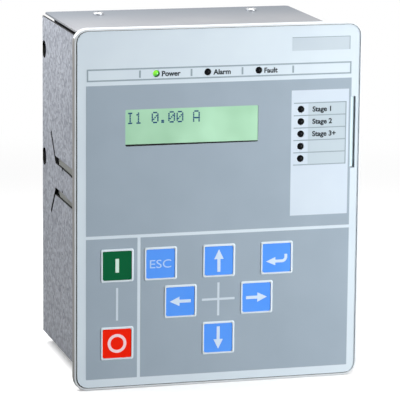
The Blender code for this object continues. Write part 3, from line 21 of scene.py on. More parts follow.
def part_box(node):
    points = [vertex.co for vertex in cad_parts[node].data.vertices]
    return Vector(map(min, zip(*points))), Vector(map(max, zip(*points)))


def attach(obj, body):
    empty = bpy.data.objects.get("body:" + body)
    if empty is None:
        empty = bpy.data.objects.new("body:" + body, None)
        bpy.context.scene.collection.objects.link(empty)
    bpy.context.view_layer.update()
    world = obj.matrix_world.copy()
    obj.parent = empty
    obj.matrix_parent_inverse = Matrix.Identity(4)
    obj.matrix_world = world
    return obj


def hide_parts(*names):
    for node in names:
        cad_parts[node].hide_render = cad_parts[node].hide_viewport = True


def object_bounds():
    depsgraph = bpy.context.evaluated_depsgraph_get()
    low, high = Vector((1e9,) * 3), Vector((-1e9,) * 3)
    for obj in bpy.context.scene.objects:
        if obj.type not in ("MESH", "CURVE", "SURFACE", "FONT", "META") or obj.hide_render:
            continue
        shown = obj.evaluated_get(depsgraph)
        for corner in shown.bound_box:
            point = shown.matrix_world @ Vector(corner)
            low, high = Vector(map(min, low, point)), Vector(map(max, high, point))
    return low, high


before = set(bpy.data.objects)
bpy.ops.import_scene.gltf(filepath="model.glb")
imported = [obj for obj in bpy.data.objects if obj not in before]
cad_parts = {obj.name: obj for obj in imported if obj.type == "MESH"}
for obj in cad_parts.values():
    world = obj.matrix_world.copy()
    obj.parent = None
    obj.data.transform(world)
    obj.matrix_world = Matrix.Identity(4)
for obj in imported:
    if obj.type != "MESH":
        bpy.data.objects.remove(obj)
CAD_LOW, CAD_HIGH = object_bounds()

LOG = logging.getLogger("relay")
MM = 0.001

Point = tuple[float, float]
Place = tuple[float, float, float]
Box = tuple[float, float, float, float]
Colour = tuple[float, float, float, float]
BMesh = bmesh.types.BMesh
Object = bpy.types.Object
Socket = bpy.types.NodeSocket
Tree = bpy.types.NodeTree

# The display's opening in the print: its left, right, lower and upper edge, and its corner radius
WINDOW: Box = (-42.3, 17.7, 28.25, 44.45)
WINDOW_CORNER = 0.6
# Nearer than this are one, in metres: points of a new piece, and places on a CAD node or on a flat end
SAME_POINT = 1e-7
SAME_PLACE = 1e-6
# An edge that bends more than this stays sharp
SHARPEST = math.radians(35)
# Where a noise, which lies mostly near 0.5, leaves one tone and reaches the next
DRIFT: Point = (0.35, 0.65)
# Octaves of a noise that shows close detail
FINE_DETAIL = 3.0
# How wide one wave of the wave texture is at a scale of 1
WAVE_BAND = math.pi / 10


class Slot(Enum):
    """Names of material slots; the keys and lamps pick one, which nothing uses."""

    FILM = "printed_film"
    DISPLAY = "display_glass"
    RUBBER = "foam_rubber"
    STEEL = "plated_steel"
    GREEN_LAMP = "green_lamp"
    DARK_LAMP = "dark_lamp"
    BLUE_KEY = "blue_key"
    GREEN_KEY = "green_key"
    RED_KEY = "red_key"


# Colours and nodes


def linear(hex_colour: str) -> Colour:
    """Turns an sRGB hex colour into the linear colour that a shader takes.

    Args:
        hex_colour: six hex digits, as in "A0B0C0".

    Returns:
        Linear red, green, blue and an alpha of 1.
    """
    parts = [int(hex_colour[i:i + 2], 16) / 255 for i in (0, 2, 4)]
    low, slope, offset, power = 0.04045, 12.92, 0.055, 2.4
    values = [p / slope if p <= low else ((p + offset) / (1 + offset)) ** power for p in parts]
    return (values[0], values[1], values[2], 1.0)


def add_node(tree: Tree, kind: str, inputs: dict | None = None, stops: tuple = (),
             **settings: object) -> bpy.types.Node:
    """Adds a node, with its settings and its links.

    Args:
        tree: the node tree of a material, of the world or of a modifier.
        kind: the node's type name.
        inputs: for each input, by name or number, a value or the output socket that feeds it.
        stops: on a colour ramp, each stop's place from 0 to 1 and its hex colour.
        **settings: the node's own properties.

    Returns:
        The new node.
    """
    node = tree.nodes.new(kind)
    for name, value in settings.items():
        setattr(node, name, value)
    for name, value in (inputs or {}).items():
        if isinstance(value, Socket):
            tree.links.new(value, node.inputs[name])
        else:
            node.inputs[name].default_value = value
    if stops:
        elements = node.color_ramp.elements
        while len(elements) < len(stops):
            elements.new(0.5)
        for element, (place, colour) in zip(elements, stops):
            element.position = place
            element.color = linear(colour)
    return node


@dataclass
class Surface:
    """A material in the making: its nodes, its Principled BSDF and its Object coordinates."""

    tree: Tree
    shader: bpy.types.Node
    place: Socket

    def add(self, kind: str, inputs: dict | None = None, out: int | str = 0, **settings: object) -> Socket:
        """Adds a shader node of that kind and returns its output of that number or name."""
        return add_node(self.tree, f"ShaderNode{kind}", inputs, **settings).outputs[out]

    def every(self, size: float, **more: float) -> dict:
        """Gives a texture's inputs, at the scale where its parts are about the stated size in mm."""
        return {"Vector": self.place, "Scale": 1 / (size * MM), **more}

    def feed(self, name: str, value: Socket) -> None:
        """Links a value to the shader's input of that name."""
        self.tree.links.new(value, self.shader.inputs[name])

    def base(self) -> Socket:
        """Returns what feeds the shader's colour so far."""
        return self.shader.inputs["Base Color"].links[0].from_socket

    def paint(self, value: Socket, places: tuple[float, ...], *tones: str) -> Socket:
        """Colours the shader by a pattern.

        Args:
            value: the pattern, from 0 to 1.
            places: where on it each tone is reached.
            *tones: the tones.

        Returns:
            The colour.
        """
        colour = self.add("ValToRGB", {"Fac": value}, stops=tuple(zip(places, tones)))
        self.feed("Base Color", colour)
        return colour

    def tint(self, share: Socket, tone: str) -> None:
        """Mixes a tone into the colour by the stated share; a Mix node's inputs 6 and 7 are its colours."""
        inputs = {0: share, 6: self.base(), 7: linear(tone)}
        self.feed("Base Color", self.add("Mix", inputs, 2, data_type="RGBA"))

    def emboss(self, height: Socket, depth: float) -> None:
        """Turns a height pattern of the stated depth in mm into relief."""
        inputs = {"Height": height, "Distance": depth * MM, "Strength": 1.0}
        self.feed("Normal", self.add("Bump", inputs))

    def across(self, vector: Socket) -> Socket:
        """Returns the size of a vector's x, to the left as to the right."""
        x = self.add("SeparateXYZ", {"Vector": vector}, "X")
        return self.add("Math", {0: x}, operation="ABSOLUTE")

    def sideways(self) -> Socket:
        """Returns how far the surface is turned to the left or to the right, from 0 to 1."""
        return self.across(self.add("TexCoord", out="Normal"))

    def outside(self, side: float) -> Socket:
        """Returns 1 further than the stated distance in mm to the left or to the right, and 0 within."""
        inputs = {0: self.across(self.place), 1: side * MM}
        return self.add("Math", inputs, operation="GREATER_THAN")


# Finishes


@dataclass(frozen=True)
class Finish:
    """A surface: its name, its two tones, its gloss, and a grain whose size is a real one in mm."""

    name: str
    colour: str
    second: str
    roughness: float = 0.5
    metallic: float = 0.0
    coat: float = 0.0
    specular: float = 0.5
    grain: float = 0.6
    relief: float = 0.01
    patch: float = 18.0

    def material(self) -> bpy.types.Material:
        """Makes the finish's material, once.

        Returns:
            The material.
        """
        made = bpy.data.materials.get(self.name)
        if made is None:
            made = bpy.data.materials.new(self.name)
            made.use_nodes = True
            made.diffuse_color = linear(self.colour)
            tree = made.node_tree
            tree.nodes.clear()
            inputs = {"Base Color": linear(self.colour), "Roughness": self.roughness,
                      "Metallic": self.metallic, "Coat Weight": self.coat,
                      "Specular IOR Level": self.specular}
            shader = add_node(tree, "ShaderNodeBsdfPrincipled", inputs)
            add_node(tree, "ShaderNodeOutputMaterial", {"Surface": shader.outputs[0]})
            self.dress(Surface(tree, shader, add_node(tree, "ShaderNodeTexCoord").outputs["Object"]))
        return made

    def dress(self, surface: Surface) -> None:
        """Links the finish's patterns to the shader of the material in the making."""
        self.mottle(surface)
        surface.emboss(surface.add("TexNoise", surface.every(self.grain)), self.relief)

    def mottle(self, surface: Surface) -> None:
        """Lets the colour drift between the two tones over patches of the stated size."""
        drift = surface.add("TexNoise", surface.every(self.patch))
        surface.paint(drift, DRIFT, self.colour, self.second)


@dataclass(frozen=True)
class MouldedFlange(Finish):
    """The front frame's moulding: polished in front, with painted shade on the faces turned to the sides.

    The outside of the flange and the guards behind the sheet's tongues get darker tones there as painted
    shade.
    """

    side_shade: str = "868582"
    side: float = 64.9
    guard_shade: str = "A6A8A4"
    guard: float = 62.0
    turned: Point = (0.7, 0.95)

    def mottle(self, surface: Surface) -> None:
        """Darkens the faces that are turned to the left and right, on the outside and on the guards, as
        painted shade.

        Args:
            surface: the material in the making.
        """
        super().mottle(surface)
        inputs = {"Value": surface.sideways(), "From Min": self.turned[0], "From Max": self.turned[1]}
        turned_to = surface.add("MapRange", inputs)
        inputs = {0: 1.0, 1: surface.outside(self.guard)}
        within = surface.add("Math", inputs, operation="SUBTRACT")
        # Painted shade on the sideways faces: one tone outside the flange, another on the guards
        tones = {self.side_shade: surface.outside(self.side), self.guard_shade: within}
        for tone, region in tones.items():
            share = surface.add("Math", {0: turned_to, 1: region}, operation="MULTIPLY")
            surface.tint(share, tone)


@dataclass(frozen=True)
class PolyesterFilm(Finish):
    """Satin film printed on its back: the ink shows through a fine stipple with a soft sheen."""

    roughness: float = 0.38
    specular: float = 0.08
    grain: float = 0.35
    relief: float = 0.0015
    raised: str = ""
    front: float = 0.0
    step: float = 0.06

    def mottle(self, surface: Surface) -> None:
        """Prints the flat film in its own tones, and whatever is embossed in the raised colour.

        Args:
            surface: the material in the making.
        """
        super().mottle(surface)
        if self.raised:
            depth = surface.add("SeparateXYZ", {"Vector": surface.place}, "Y")
            inputs = {0: depth, 1: self.front - self.step * MM}
            surface.tint(surface.add("Math", inputs, operation="LESS_THAN"), self.raised)


@dataclass(frozen=True)
class SpangledZinc(Finish):
    """Hot-dip galvanised sheet: small crystals, each with its own tone and gloss, under fine dross."""

    crystal: float = 1.4
    dark: str = "83878F"
    tone_places: Place = (0.2, 0.5, 0.8)
    dross_share: float = 0.45
    gloss_spread: Point = (-0.08, 0.1)
    bare_edge_shade: str = "262626"
    side: float = 58.7
    edge_turn: float = 0.5

    def mottle(self, surface: Surface) -> None:
        """Gives each crystal a tone of its own and each a slightly different gloss.

        Args:
            surface: the material in the making.
        """
        wobble = surface.add("TexNoise", surface.every(self.crystal), "Color")
        inputs = {0: wobble, "Scale": self.crystal * MM}
        bent = surface.add("VectorMath", inputs, operation="SCALE")
        moved = surface.add("VectorMath", {0: surface.place, 1: bent}, operation="ADD")
        inputs = {**surface.every(self.crystal), "Vector": moved}
        cells = surface.add("TexVoronoi", inputs, "Color")
        random = add_node(surface.tree, "ShaderNodeSeparateColor", {"Color": cells}).outputs
        dross = surface.add("TexNoise", surface.every(self.grain, Detail=FINE_DETAIL))
        inputs = {0: self.dross_share, 2: random[0], 3: dross}
        blended = surface.add("Mix", inputs, data_type="FLOAT")
        surface.paint(blended, self.tone_places, self.dark, self.colour, self.second)
        # Painted shade: the cut edges of the side sheets are tinted near black
        inputs = {0: self.sheared(surface), 1: surface.outside(self.side)}
        surface.tint(surface.add("Math", inputs, operation="MULTIPLY"), self.bare_edge_shade)
        low, high = (self.roughness + spread for spread in self.gloss_spread)
        inputs = {"Value": random[1], "To Min": low, "To Max": high}
        surface.feed("Roughness", surface.add("MapRange", inputs))

    def sheared(self, surface: Surface) -> Socket:
        """Returns 1 on the side sheets' cut edges, bare of zinc, which get near-black painted shade."""
        inputs = {0: surface.sideways(), 1: self.edge_turn}
        return surface.add("Math", inputs, operation="LESS_THAN")


@dataclass(frozen=True)
class RolledSheet(Finish):
    """Rolled sheet and drawn steel: almost plain, with faint streaks along the rolling direction."""

    streak: float = 0.5
    run: float = 40.0
    cloud_share: float = 0.5
    rear: str = ""
    rear_shade_span: Point = (-20.0, 39.5)

    def mottle(self, surface: Surface) -> None:
        """Draws long streaks, narrow across and running from front to rear.

        Args:
            surface: the material in the making.
        """
        scale = (1.0, self.streak / self.run, 1.0)
        stretched = surface.add("Mapping", {"Vector": surface.place, "Scale": scale})
        inputs = {**surface.every(self.streak, Detail=FINE_DETAIL), "Vector": stretched}
        lines = surface.add("TexNoise", inputs)
        cloud = surface.add("TexNoise", surface.every(self.patch))
        inputs = {0: self.cloud_share, 2: lines, 3: cloud}
        blended = surface.add("Mix", inputs, data_type="FLOAT")
        surface.paint(blended, DRIFT, self.colour, self.second)
        # Painted reflection: the tone darkens towards the rear, as a darker reflection there
        if self.rear:
            along = surface.add("SeparateXYZ", {"Vector": surface.place}, "Y")
            start, end = (distance * MM for distance in self.rear_shade_span)
            inputs = {"Value": along, "From Min": start, "From Max": end}
            share = surface.add("MapRange", inputs, interpolation_type="SMOOTHSTEP")
            surface.tint(share, self.rear)


@dataclass(frozen=True)
class ClearSheet(Finish):
    """Clear sheet: only its reflections and a faint tint show."""

    specular: float = 0.2
    alpha: float = 0.02

    def dress(self, surface: Surface) -> None:
        """Lets what is behind the sheet show through."""
        super().dress(surface)
        surface.shader.inputs["Alpha"].default_value = self.alpha


@dataclass(frozen=True)
class BacklitGlass(Finish):
    """Liquid crystal over a light tray: matt, its colour half painted and half glowing.

    The glow is partly the tray's backlight and partly painted light, which fades towards the lower left.
    """

    specular: float = 0.1
    light: Point = (0.2, 0.355)
    lit_towards: Place = (1.0, 0.0, 1.5)
    lit_span: Point = (121.0, 200.0)

    def dress(self, surface: Surface) -> None:
        """Lets the glass glow in its own drifting colour, less to the lower left, which is painted light.

        Args:
            surface: the material in the making.
        """
        super().dress(surface)
        surface.feed("Emission Color", surface.base())
        # Painted light: the glow grows towards the upper right
        inputs = {0: surface.place, 1: self.lit_towards}
        along = surface.add("VectorMath", inputs, "Value", operation="DOT_PRODUCT")
        start, end = (distance * MM for distance in self.lit_span)
        dim, bright = self.light
        inputs = {"Value": along, "From Min": start, "From Max": end, "To Min": dim, "To Max": bright}
        surface.feed("Emission Strength", surface.add("MapRange", inputs))


@dataclass(frozen=True)
class LampLens(Finish):
    """Epoxy lens: clear gloss over a glowing chip with a painted highlight and shade, or a dark unlit body.
    """

    glow: str = ""
    shade: str = "0A3A08"
    glow_places: Place = (0.2, 0.52, 0.8)
    strength: float = 0.55
    middle: Point = (0.0, 0.0)
    reach: float = 1.5

    def dress(self, surface: Surface) -> None:
        """Makes a lit lens glow with a painted highlight at its upper left and painted shade at its lower
        right.

        Args:
            surface: the material in the making.
        """
        super().dress(surface)
        if self.glow:
            # Painted highlight at the upper left and painted shade at the lower right
            inputs = {"Vector": surface.place, "Location": (-self.middle[0], 0.0, -self.middle[1])}
            centred = surface.add("Mapping", inputs)
            slope = math.sqrt(0.5)
            inputs = {0: centred, 1: (slope, 0.0, -slope)}
            side = surface.add("VectorMath", inputs, "Value", operation="DOT_PRODUCT")
            span = self.reach * MM
            inputs = {"Value": side, "From Min": -span, "From Max": span}
            share = surface.add("MapRange", inputs)
            colour = surface.paint(share, self.glow_places, self.glow, self.colour, self.shade)
            surface.feed("Emission Color", colour)
            surface.shader.inputs["Emission Strength"].default_value = self.strength


@dataclass(frozen=True)
class CircuitBoard(Finish):
    """Glass-epoxy board: solder resist, a shade lighter where it runs over copper tracks."""

    track: float = 2.2
    jitter: float = 0.6
    track_edge: Point = (0.3, 0.36)

    def mottle(self, surface: Surface) -> None:
        """Lays out tracks as the edges of square cells.

        Args:
            surface: the material in the making.
        """
        inputs = surface.every(self.track, Randomness=self.jitter)
        cells = surface.add("TexVoronoi", inputs, "Distance", distance="CHEBYCHEV")
        surface.paint(cells, self.track_edge, self.second, self.colour)


@dataclass(frozen=True)
class FlatCable(Finish):
    """Ribbon cable: one rounded rib for each conductor, across the cable's width."""

    pitch: float = 1.27
    web: Point = (0.1, 0.5)

    def dress(self, surface: Surface) -> None:
        """Raises the ribs and darkens the webs between them.

        Args:
            surface: the material in the making.
        """
        inputs = surface.every(self.pitch / WAVE_BAND)
        ribs = surface.add("TexWave", inputs, "Fac", bands_direction="Z")
        surface.paint(ribs, self.web, self.second, self.colour)
        surface.emboss(ribs, self.relief)


# ABS moulded in a polished tool: pale, with soft broad highlights, and painted shade on the sideways faces
FRAME_PLASTIC = MouldedFlange("moulded_abs_light_grey", "E1E6EA", "DEE3E7", 0.42, specular=0.14,
                              grain=0.5, relief=0.004)
# ABS moulded in a plain tool: even and matt behind the glass
TRAY_PLASTIC = Finish("moulded_abs_display_tray", "C8CAC8", "C2C5C4", 0.5)
# Foam cut from a sheet: its open cells leave it black and without a highlight
FOAM = Finish("closed_cell_foam", "232323", "1B1B1B", 0.95, grain=0.5, relief=0.12)
# Polyester film embossed from behind: satin, and paler where it stands proud
FILM = PolyesterFilm("polyester_film_pale", "D6E3ED", "D9E6EF", 0.36, raised="E2EDF5")
# Inks screen-printed behind the film: flat even tones, all under the film's own sheen
FIELD_INK = PolyesterFilm("film_ink_grey_blue", "9EADBA", "A1B0BD")
LINE_INK = PolyesterFilm("film_ink_line_grey", "98A8B2", "9AAAB4")
PLATE_INK = PolyesterFilm("film_ink_blank_plate", "C3D0DA", "C6D3DC")
PANEL_INK = PolyesterFilm("film_ink_legend_panel", "D0DDEA", "D3E0EC")
ROW_INK = PolyesterFilm("film_ink_legend_rows", "C1D0D9", "C4D2DB")
PALE_INK = PolyesterFilm("film_ink_pale_line", "CEDBE6", "D1DEE8")
TEXT_INK = PolyesterFilm("film_ink_lettering", "2A3238", "2F373E", 0.42)
# The inks of the keys: strong even tones for the pads, and pale symbols over them
BLUE_INK = PolyesterFilm("film_ink_blue", "589CFF", "5EA0FF", 0.36)
GREEN_INK = PolyesterFilm("film_ink_green", "005A33", "025E37", 0.36)
RED_INK = PolyesterFilm("film_ink_red", "F82004", "FA2408", 0.36)
BLUE_SYMBOL = PolyesterFilm("film_ink_symbol_blue_white", "D4E6FB", "D8E9FC", 0.36)
ESCAPE_SYMBOL = PolyesterFilm("film_ink_escape", "B4D4FF", "B8D7FF", 0.36)
GREEN_SYMBOL = PolyesterFilm("film_ink_symbol_mint", "D4F0E2", "D8F2E5", 0.36)
RED_SYMBOL = PolyesterFilm("film_ink_symbol_rose", "FFDCE0", "FFE0E4", 0.36)
# Uncoated card: pale and quite matt, with a trace of fibre
CARD = Finish("legend_card_stock", "DDF0F6", "D8ECF3", 0.75, grain=0.25, relief=0.01)
# Cast acrylic: clear and smooth, so that only reflections tell it is there
ACRYLIC = ClearSheet("clear_acrylic", "F4FBF8", "F4FBF8", 0.06, relief=0.0)
# Liquid crystal between glass, under a matt polariser: a soft green glow that drifts a little, partly
# backlight and partly painted light
LCD = BacklitGlass("liquid_crystal_green", "92BC9E", "A6D0B3", 0.3, relief=0.0, patch=26.0)
# The same crystal switched on: dark blue dots without a glow
LCD_DOT = Finish("liquid_crystal_dot", "1A4872", "1E4C76", 0.4, specular=0.1, relief=0.0)
# Black and dull: painted shade at the bottom of the overlay's groove and along the display's lower edge
BLACK_SHADE = Finish("black_painted_shade", "101214", "141618", 0.7, specular=0.2, relief=0.004)
# Cast tinted epoxy: smooth; unlit it is nearly black, and lit it glows
# with a painted highlight at one side and painted shade at the other
DARK_LENS = LampLens("unlit_lamp_lens", "08090E", "06070C", 0.3, specular=0.08, relief=0.0)
LIT_LENS = LampLens("lit_lamp_lens", "3FB812", "3FB812", 0.14, coat=0.5, relief=0.0, glow="8EE624")
# Hot-dip galvanised steel: grey crystals without a mirror's gleam, dulled by their oxide, and cut edges in
# painted shade
ZINC = SpangledZinc("galvanised_sheet_spangle", "999DA7", "B4B9C2", 0.46, metallic=0.04, specular=0.04,
                    relief=0.005)
# Aluminium-zinc coated steel, rolled: smooth warm grey with a blurred reflection, and a painted darker
# reflection to the rear
COVER_SHEET = RolledSheet("aluminium_zinc_sheet", "919398", "9B9CA0", 0.5, metallic=0.7, specular=0.2,
                          relief=0.003, rear="797F87")
# Zinc-plated turned steel: bright, with the short marks of turning
STEEL = RolledSheet("zinc_plated_steel", "C4C6CA", "D6D8DA", 0.26, metallic=1.0, relief=0.002, run=2.0)
# Glass-epoxy laminate under cured solder resist: glossy green with lighter tracks
BOARD = CircuitBoard("glass_epoxy_board", "0E4A26", "1C6B3A", 0.35, coat=0.3, relief=0.004)
# Cast epoxy resin: black, with the slight waves of its pouring
RESIN = Finish("cast_resin_black", "26272A", "1E1F22", 0.55, grain=1.0, relief=0.02)
# Moulded natural polyamide: milky off-white with a low gloss
RELAY_COVER = Finish("polyamide_relay_cover", "DCDAD2", "D6D4CC", 0.45, grain=0.4, relief=0.004)
# Pressed and fired ferrite: charcoal, matt and slightly grainy
FERRITE = Finish("sintered_ferrite", "37373A", "2E2E31", 0.6, grain=0.5, relief=0.01)
# Shrunk PVC film: dark blue with tight sharp highlights
SLEEVE = Finish("pvc_shrink_sleeve", "1C2742", "202C4A", 0.25, coat=0.3, grain=2.0, relief=0.004)
# Extruded soft PVC: grey ribs with darker webs between them
CABLE = FlatCable("ribbon_cable_grey", "B0B2B3", "8E9092", 0.5, relief=0.15)
# Moulded nylon, with and without glass fibre: the fibre roughens the black, and the green stays smoother
BLACK_NYLON = Finish("glass_filled_nylon_black", "2A2B2C", "242526", 0.48, grain=0.3, relief=0.006)
GREEN_NYLON = Finish("nylon_plug_green", "2F7A42", "2B733D", 0.4, grain=0.4, relief=0.004)
SWITCH_NYLON = Finish("nylon_switch_black", "303133", "2A2B2D", 0.45, grain=0.3, relief=0.004)


# Shapes


@dataclass
class FrontFace:
    """The plane of the overlay's front, on which everything printed is drawn."""

    origin: Vector

    @classmethod
    def of_overlay(cls, overlay: str, thickness: float) -> "FrontFace":
        """Finds the plane, with its origin in the film's middle, from the film's back and its thickness."""
        low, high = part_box(overlay)
        return cls(Vector(((low.x + high.x) / 2, high.y - thickness * MM, (low.z + high.z) / 2)))

    def matrix(self, depth: float) -> Matrix:
        """Stands a drawing in mm up, the stated depth in mm behind the plane."""
        place = Matrix.Translation(self.origin + Vector((0.0, depth * MM, 0.0)))
        return place @ Matrix.Rotation(math.radians(90), 4, "X") @ Matrix.Scale(MM, 4)

    def local(self, point: Vector) -> Point:
        """Gives a point's x and z on the plane, in mm."""
        offset = (point - self.origin) / MM
        return (offset.x, offset.z)


def add_object(name: str, data: bpy.types.ID) -> Object:
    """Puts a new object into the scene.

    Args:
        name: its name.
        data: its mesh, curve, lamp or camera.

    Returns:
        The object.
    """
    made = bpy.data.objects.new(name, data)
    bpy.context.scene.collection.objects.link(made)
    return made


def add_mesh(name: str, bm: BMesh, material: bpy.types.Material) -> Object:
    """Puts a bmesh into the scene as an object of one material.

    Args:
        name: the object's name.
        bm: its mesh, which is freed.
        material: its material.

    Returns:
        The object.
    """
    mesh = bpy.data.meshes.new(name)
    bm.to_mesh(mesh)
    bm.free()
    mesh.materials.append(material)
    return add_object(name, mesh)


def add_piece(name: str, bm: BMesh, finish: Finish, body: str = "relay",
              smooth: bool = False) -> Object:
    """Makes a finished piece of a bmesh that lies where the piece belongs.

    Args:
        name: the piece's name.
        bm: its mesh in metres, which is freed.
        finish: its surface.
        body: the CAD body that it moves with.
        smooth: whether its round faces are shaded smooth.

    Returns:
        The piece.
    """
    bmesh.ops.remove_doubles(bm, verts=bm.verts, dist=SAME_POINT)
    bmesh.ops.recalc_face_normals(bm, faces=bm.faces)
    piece = add_mesh(name, bm, finish.material())
    if smooth:
        piece.data.shade_smooth()
        piece.data.set_sharp_from_angle(angle=SHARPEST)
    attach(piece, body)
    LOG.info("piece %s on %s", name, body)
    return piece


def finish_node(name: str, finish: Finish) -> None:
    """Gives a CAD node its material.

    Args:
        name: the node.
        finish: its surface.
    """
    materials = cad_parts[name].data.materials
    materials.clear()
    materials.append(finish.material())
    LOG.info("finish %s on %s", finish.name, name)


def rounded_shading(node: Object) -> None:
    """Shades a CAD node's round faces smooth and keeps its flat faces flat, by live modifiers.

    Args:
        node: the CAD node.
    """
    tree = bpy.data.node_groups.get("rounded_shading")
    if tree is None:
        tree = bpy.data.node_groups.new("rounded_shading", "GeometryNodeTree")
        for way in ("INPUT", "OUTPUT"):
            tree.interface.new_socket("Geometry", in_out=way, socket_type="NodeSocketGeometry")
        whole = add_node(tree, "NodeGroupInput").outputs[0]
        inputs = {"Geometry": whole, "Distance": SAME_PLACE}
        joined = add_node(tree, "GeometryNodeMergeByDistance", inputs).outputs[0]
        angle = add_node(tree, "GeometryNodeInputMeshEdgeAngle").outputs["Unsigned Angle"]
        soft = add_node(tree, "ShaderNodeMath", {0: angle, 1: SHARPEST}, operation="LESS_THAN").outputs[0]
        inputs = {"Geometry": joined, "Shade Smooth": True}
        faces = add_node(tree, "GeometryNodeSetShadeSmooth", inputs, domain="FACE").outputs[0]
        inputs = {"Geometry": faces, "Shade Smooth": soft}
        edges = add_node(tree, "GeometryNodeSetShadeSmooth", inputs, domain="EDGE").outputs[0]
        add_node(tree, "NodeGroupOutput", {0: edges})
    node.modifiers.new("rounded_shading", "NODES").node_group = tree
    node.modifiers.new("flat_faces_first", "WEIGHTED_NORMAL").keep_sharp = True


def new_points(region: dict) -> list[bmesh.types.BMVert]:
    """Picks the points out of what an extrusion gave back."""
    return [item for item in region["geom"] if isinstance(item, bmesh.types.BMVert)]


class Drawing:
    """A flat figure in mm: outlines and holes, filled and given a thickness."""

    corner_steps = 4
    circle_steps = 32

    def __init__(self) -> None:
        """Starts with an empty sheet."""
        self.bm = bmesh.new()

    def rectangle(self, box: Box, corner: float = 0.0) -> "Drawing":
        """Draws a rectangle's outline, with round corners where a radius is given.

        Args:
            box: its left, right, lower and upper edge.
            corner: its corner radius.

        Returns:
            The drawing.
        """
        left, right, low, high = box
        size = Matrix.Diagonal((right - left, high - low, 1.0, 1.0))
        place = Matrix.Translation(((left + right) / 2, (low + high) / 2, 0.0)) @ size
        made = bmesh.ops.create_grid(self.bm, x_segments=1, y_segments=1, size=0.5, matrix=place)
        if corner:
            bmesh.ops.bevel(self.bm, geom=made["verts"], affect="VERTICES", offset=corner,
                            offset_type="OFFSET", segments=self.corner_steps, profile=0.5, material=-1)
        return self

    def square(self, middle: Point, size: float, corner: float = 0.0) -> "Drawing":
        """Draws a square round its middle."""
        (x, z), half = middle, size / 2
        return self.rectangle((x - half, x + half, z - half, z + half), corner)

    def circle(self, middle: Point, radius: float) -> "Drawing":
        """Draws a circle.

        Args:
            middle: its middle.
            radius: its radius.

        Returns:
            The drawing.
        """
        place = Matrix.Translation((*middle, 0.0))
        bmesh.ops.create_circle(self.bm, cap_ends=False, radius=radius, segments=self.circle_steps,
                                matrix=place)
        return self

    def outline(self, points: list[Point]) -> "Drawing":
        """Draws a closed outline through a few corners.

        Args:
            points: the corners, in their order.

        Returns:
            The drawing.
        """
        corners = [self.bm.verts.new((x, z, 0.0)) for x, z in points]
        for start, end in zip(corners, corners[1:] + corners[:1]):
            self.bm.edges.new((start, end))
        return self

    def plate(self, face: FrontFace, front: float, back: float) -> BMesh:
        """Fills the outlines, leaves their holes open and gives the sheet a thickness.

        Args:
            face: the plane that the figure stands on.
            front: depth of its front face.
            back: depth of its back face.

        Returns:
            The closed plate in its place, in metres.
        """
        bm = self.bm
        bmesh.ops.delete(bm, geom=bm.faces[:], context="FACES_ONLY")
        bmesh.ops.triangle_fill(bm, use_beauty=True, edges=bm.edges[:])
        raised = new_points(bmesh.ops.extrude_face_region(bm, geom=bm.faces[:]))
        bmesh.ops.translate(bm, verts=raised, vec=(0.0, 0.0, back - front))
        bmesh.ops.transform(bm, matrix=face.matrix(back), verts=bm.verts)
        return bm


def lettering(text: str, face: FrontFace, start: Point, cap_height: float, front: float,
              thickness: float, length: float = 0.0, weight: float = 0.0) -> BMesh:
    """Sets a word in a plain sans face.

    Args:
        text: the word.
        face: the plane that it stands on.
        start: its left end and its base line, in mm.
        cap_height: height of a capital in mm.
        front: depth of its front face.
        thickness: thickness of the letters in mm.
        length: the word's length in mm, where it isn't the natural one.
        weight: how much the strokes grow, as a share of the cap height.

    Returns:
        The letters as a closed mesh in their place, in metres.
    """
    cap_share = 0.729
    curve = bpy.data.curves.new("lettering", "FONT")
    curve.body = text
    curve.size = cap_height / cap_share
    curve.extrude = thickness / 2
    curve.offset = weight * cap_height
    curve.resolution_u = 4
    holder = add_object("lettering", curve)
    graph = bpy.context.evaluated_depsgraph_get()
    mesh = bpy.data.meshes.new_from_object(holder.evaluated_get(graph))
    bpy.data.objects.remove(holder)
    bpy.data.curves.remove(curve)
    bm = bmesh.new()
    bm.from_mesh(mesh)
    bpy.data.meshes.remove(mesh)
    left = min(vert.co.x for vert in bm.verts)
    natural = max(vert.co.x for vert in bm.verts) - left
    bmesh.ops.translate(bm, verts=bm.verts, vec=(-left, 0.0, 0.0))
    stretch = Matrix.Diagonal(((length or natural) / natural, 1.0, 1.0, 1.0))
    place = face.matrix(front + thickness / 2) @ Matrix.Translation((*start, 0.0))
    bmesh.ops.transform(bm, matrix=place @ stretch, verts=bm.verts)
    return bm


def turned(profile: list[Point], centre: Vector, axis: Vector, steps: int = 32) -> BMesh:
    """Turns a profile about an axis.

    Args:
        profile: radius and distance along the axis in mm, from one pole to the other.
        centre: the axis's origin in metres.
        axis: the axis's direction.
        steps: segments round it.

    Returns:
        The closed solid of revolution, in metres.
    """
    bm = bmesh.new()
    points = [bm.verts.new((radius, 0.0, along)) for radius, along in profile]
    lines = [bm.edges.new(pair) for pair in zip(points, points[1:])]
    bmesh.ops.spin(bm, geom=points + lines, cent=(0.0, 0.0, 0.0), axis=(0.0, 0.0, 1.0),
                   angle=math.radians(360), steps=steps, use_merge=True, dvec=(0.0, 0.0, 0.0))
    bmesh.ops.remove_doubles(bm, verts=bm.verts, dist=SAME_POINT / MM)
    turn = Vector((0.0, 0.0, 1.0)).rotation_difference(axis).to_matrix().to_4x4()
    place = Matrix.Translation(centre) @ turn @ Matrix.Scale(MM, 4)
    bmesh.ops.transform(bm, matrix=place, verts=bm.verts)
    return bm


